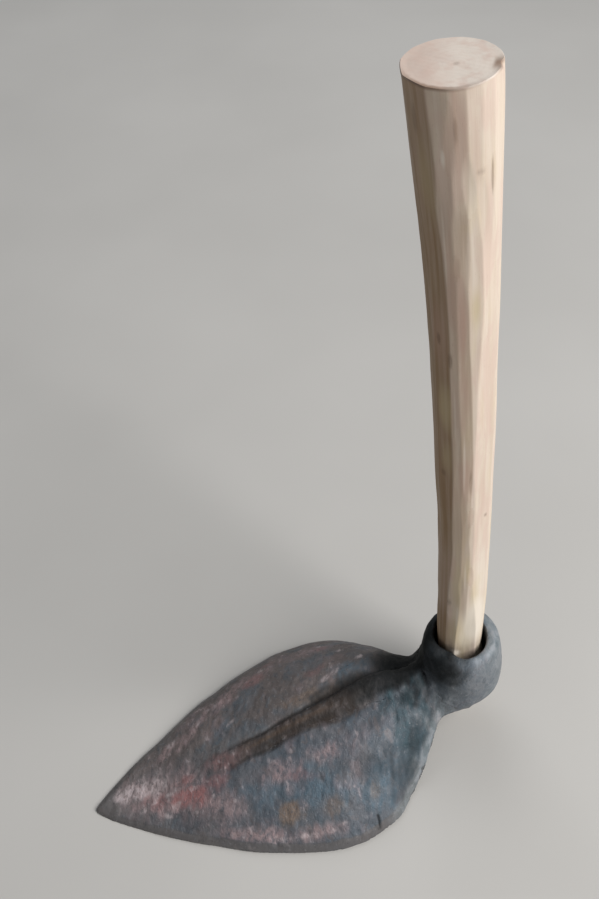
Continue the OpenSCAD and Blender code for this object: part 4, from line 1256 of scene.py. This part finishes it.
def wood(name, shift=0.0, wedge=False):
    """Whittled pale softwood: long grain, the knife's flats, browner flats on the side turned from the key light,
    painted shade at the foot, painted highlights, sawn end with painted shade on its chamfer.
    """
    m = Nodes(name)
    at = m.attr("grain", True)
    bent = m.noise(m.stretch(at, 1 / 9, 1 / 9, 1 / 42, shift), 1, 3, 0.55, 0.5)
    long = m.noise(m.stretch(at, 1 / 2.6, 1 / 2.6, 1 / 120, shift, 2), 1, 4, 0.6, 0.35)
    fine = m.noise(m.stretch(at, 1 / 0.6, 1 / 0.6, 1 / 30, 1, shift), 1, 4, 0.65)
    fleck = m.noise(m.stretch(at, 1 / 0.5, 1 / 0.5, 1 / 4.0, 4, shift), 1, 3, 0.6)
    base = m.mix(m.span(long, 0.36, 0.66), srgb(236, 220, 203), srgb(228, 210, 191))
    base = m.mix(m.math("MULTIPLY", m.span(bent, 0.47, 0.62), 0.55), base, srgb(228, 202, 188))
    base = m.mix(m.math("MULTIPLY", m.span(bent, 0.45, 0.33), 0.45), base, srgb(232, 216, 188))
    base = m.mix(m.span(fine, 0.56, 0.76, 0, 0.10), base, srgb(186, 158, 136))
    base = m.mix(m.span(fleck, 0.62, 0.75, 0, 0.25), base, srgb(160, 130, 106))
    if not wedge:
        tint = m.attr("tint")
        base = m.mix(m.math("MULTIPLY", m.span(tint, 0.0, 0.5, 1.0, 0.0, False), 0.30), base, srgb(206, 176, 156))
        base = m.mix(m.math("MULTIPLY", m.span(tint, 0.5, 1.0, 0.0, 1.0, False), 0.25), base, srgb(246, 234, 218))
        w = m.math("MULTIPLY", m.attr("tan"), m.span(long, 0.35, 0.65, 0.78, 1.0))
        base = m.mix(m.math("MULTIPLY", w, 0.9), base, srgb(158, 126, 90))
        base = m.mix(m.math("MULTIPLY", m.attr("blush"), 0.55), base, srgb(206, 170, 154))
        base = m.mix(m.math("MULTIPLY", m.attr("straw"), 0.62), base, srgb(216, 198, 156))
        base = m.mix(m.math("MULTIPLY", m.attr("knot"), m.span(fine, 0.3, 0.6, 0.4, 0.8)), base, srgb(132, 106, 86))
        # bare wood and painted highlights
        base = m.mix(m.math("MULTIPLY", m.attr("bare_and_highlight"), 0.8), base, srgb(250, 240, 226))
        # painted shade at the foot
        base = m.mix(m.math("MULTIPLY", m.attr("foot_shade"), 0.6), base, srgb(120, 98, 78))
        # the sawn end: rings about the pith, and the saw's lines
        sep = m.t.nodes.new("ShaderNodeSeparateXYZ")
        m.put(sep.inputs[0], at)
        dx, dy = m.math("ADD", sep.outputs[0], -1.0), m.math("ADD", sep.outputs[1], 2.5)
        rad = m.math("SQRT", m.math("ADD", m.math("MULTIPLY", dx, dx), m.math("MULTIPLY", dy, dy)))
        wob = m.noise(m.stretch(at, 1 / 7, 1 / 7, 1 / 7), 1, 3, 0.5)
        rings = m.math("SINE", m.math("MULTIPLY", m.math("ADD", rad, m.math("MULTIPLY", wob, 3.5)), 3.1))
        cut = m.mix(m.span(rings, 0.2, 1.0, 0, 0.06), srgb(238, 226, 214), srgb(206, 182, 160))
        blot = m.noise(m.stretch(at, 1 / 6, 1 / 6, 1 / 6, 8), 1, 3, 0.55)
        side = m.math("ADD", m.math("MULTIPLY", sep.outputs[0], -0.0455), m.math("MULTIPLY", sep.outputs[1], 0.0205))
        cut = m.mix(m.math("MULTIPLY", m.span(m.math("ADD", side, m.math("MULTIPLY", wob, 0.6)), 0.1, 0.9), 0.6), cut, srgb(214, 188, 174))
        cut = m.mix(m.span(blot, 0.42, 0.72, 0, 0.6), cut, srgb(222, 196, 182))
        cut = m.mix(m.span(rad, 1.8, 0.4, 0, 0.35), cut, srgb(150, 134, 122))
        # painted shade on the sawn end's chamfer and chip
        cut = m.mix(m.math("MULTIPLY", m.attr("rim"), 0.85), cut, srgb(150, 122, 102))
        speck = m.noise(m.stretch(at, 1 / 0.8, 1 / 0.8, 1 / 0.8), 1, 4, 0.7)
        cut = m.mix(m.span(speck, 0.6, 0.75, 0, 0.25), cut, srgb(180, 156, 138))
        # the same painted shade on the chamfer's side faces
        base = m.mix(m.math("MULTIPLY", m.attr("rim"), 0.6), base, srgb(150, 120, 100))
        base = m.mix(m.attr("sawn"), base, cut)
    m.put(m.bsdf.inputs["Base Color"], base)
    m.put(m.bsdf.inputs["Roughness"], m.span(long, 0.3, 0.7, 0.58, 0.74))
    m.bsdf.inputs["Specular IOR Level"].default_value = 0.35
    rel = m.math("ADD", m.math("MULTIPLY", fine, 0.45), m.math("MULTIPLY", long, 0.8))
    rel = m.math("ADD", rel, m.math("MULTIPLY", bent, 1.6))
    m.put(m.bsdf.inputs["Normal"], m.bump(rel, 0.00010, 0.7))
    return m.mat


def dress(obj, mat):
    obj.data.materials.clear()
    obj.data.materials.append(mat)


# one iron for the whole head, so its welds do not show
head_iron = iron("iron_scale", 0.0)
for piece in (blade, spine, ring):
    dress(piece, head_iron)
dress(stick, wood("whittled_wood"))
dress(wedge, wood("split_wood", 31.0, True))


# ======================================================================
# Joining the frame, light and camera
# ======================================================================

for piece, node, slot in ((blade, "blade", "iron_blade"), (spine, "spine", "iron_rib"), (ring, "eye_ring", "iron_eye"),
                          (stick, "handle", "stick_wood"), (wedge, "handle_wedge", "wedge_wood")):
    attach(piece, "root")
    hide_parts(node)

g = np.linspace(-6, 6, 61)
X, Y = np.meshgrid(g, g, indexing="ij")
floor_points = np.stack([X, Y, np.zeros_like(X)], -1).reshape(-1, 3) * 1000
i, j = np.meshgrid(np.arange(60), np.arange(60), indexing="ij")
k = i * 61 + j
floor = add_mesh("floor", floor_points, [np.stack([k, k + 61, k + 62, k + 1], -1).reshape(-1, 4)])
fm = Nodes("pale_floor")
fp = fm.t.nodes.new("ShaderNodeTexCoord").outputs["Object"]
fm.put(fm.bsdf.inputs["Base Color"], fm.mix(fm.span(fm.noise(fp, 3.0, 3, 0.5), 0.3, 0.7, 0, 1), srgb(206, 204, 200), srgb(212, 210, 206)))
fm.bsdf.inputs["Roughness"].default_value = 0.9
dress(floor, fm.mat)


def area(name, towards, dist, size, power, color=(1, 1, 1), aim=(0.0, 0.0, 0.15)):
    """A soft square light, dist metres out from aim in that direction."""
    d = Vector(towards).normalized()
    light = bpy.data.lights.new(name, "AREA")
    light.shape, light.size, light.energy, light.color = "SQUARE", size, power, color
    obj = bpy.data.objects.new(name, light)
    obj.location = Vector(aim) + d * dist
    obj.rotation_euler = (-d).to_track_quat("-Z", "Y").to_euler()
    scene.collection.objects.link(obj)
    return obj


area("key", (0.585, -0.50, 0.64), 2.6, 1.7, 66, (1.0, 0.985, 0.97))
area("back_soft", (0.1, 0.75, 0.75), 2.4, 1.4, 12, (0.97, 0.985, 1.0))

world = bpy.data.worlds.new("studio")
scene.world = world
world.use_nodes = True
back = world.node_tree.nodes["Background"]
back.inputs["Color"].default_value = (0.90, 0.94, 1.0, 1)
back.inputs["Strength"].default_value = 0.12

cam_data = bpy.data.cameras.new("camera")
cam = bpy.data.objects.new("camera", cam_data)
scene.collection.objects.link(cam)
cam_data.sensor_width = 36.0
cam_data.lens = 36.0 * 1010.0 / 899.0
cam_data.shift_x, cam_data.shift_y = -0.5 / 899, 0.5 / 899
cam_data.clip_start, cam_data.clip_end = 0.02, 40
right, up, back_ = (0.94929073, -0.31203125, -0.03851772), (0.24968835, 0.67377479, 0.69547341), (-0.19105716, -0.66982389, 0.71751873)
place = Matrix.Identity(4)
for r in range(3):
    place[r][0], place[r][1], place[r][2] = right[r], up[r], back_[r]
place[0][3], place[1][3], place[2][3] = -0.08495, -0.33680, 0.65885
cam.matrix_world = place
scene.camera = cam
scene.view_settings.view_transform = "Standard"
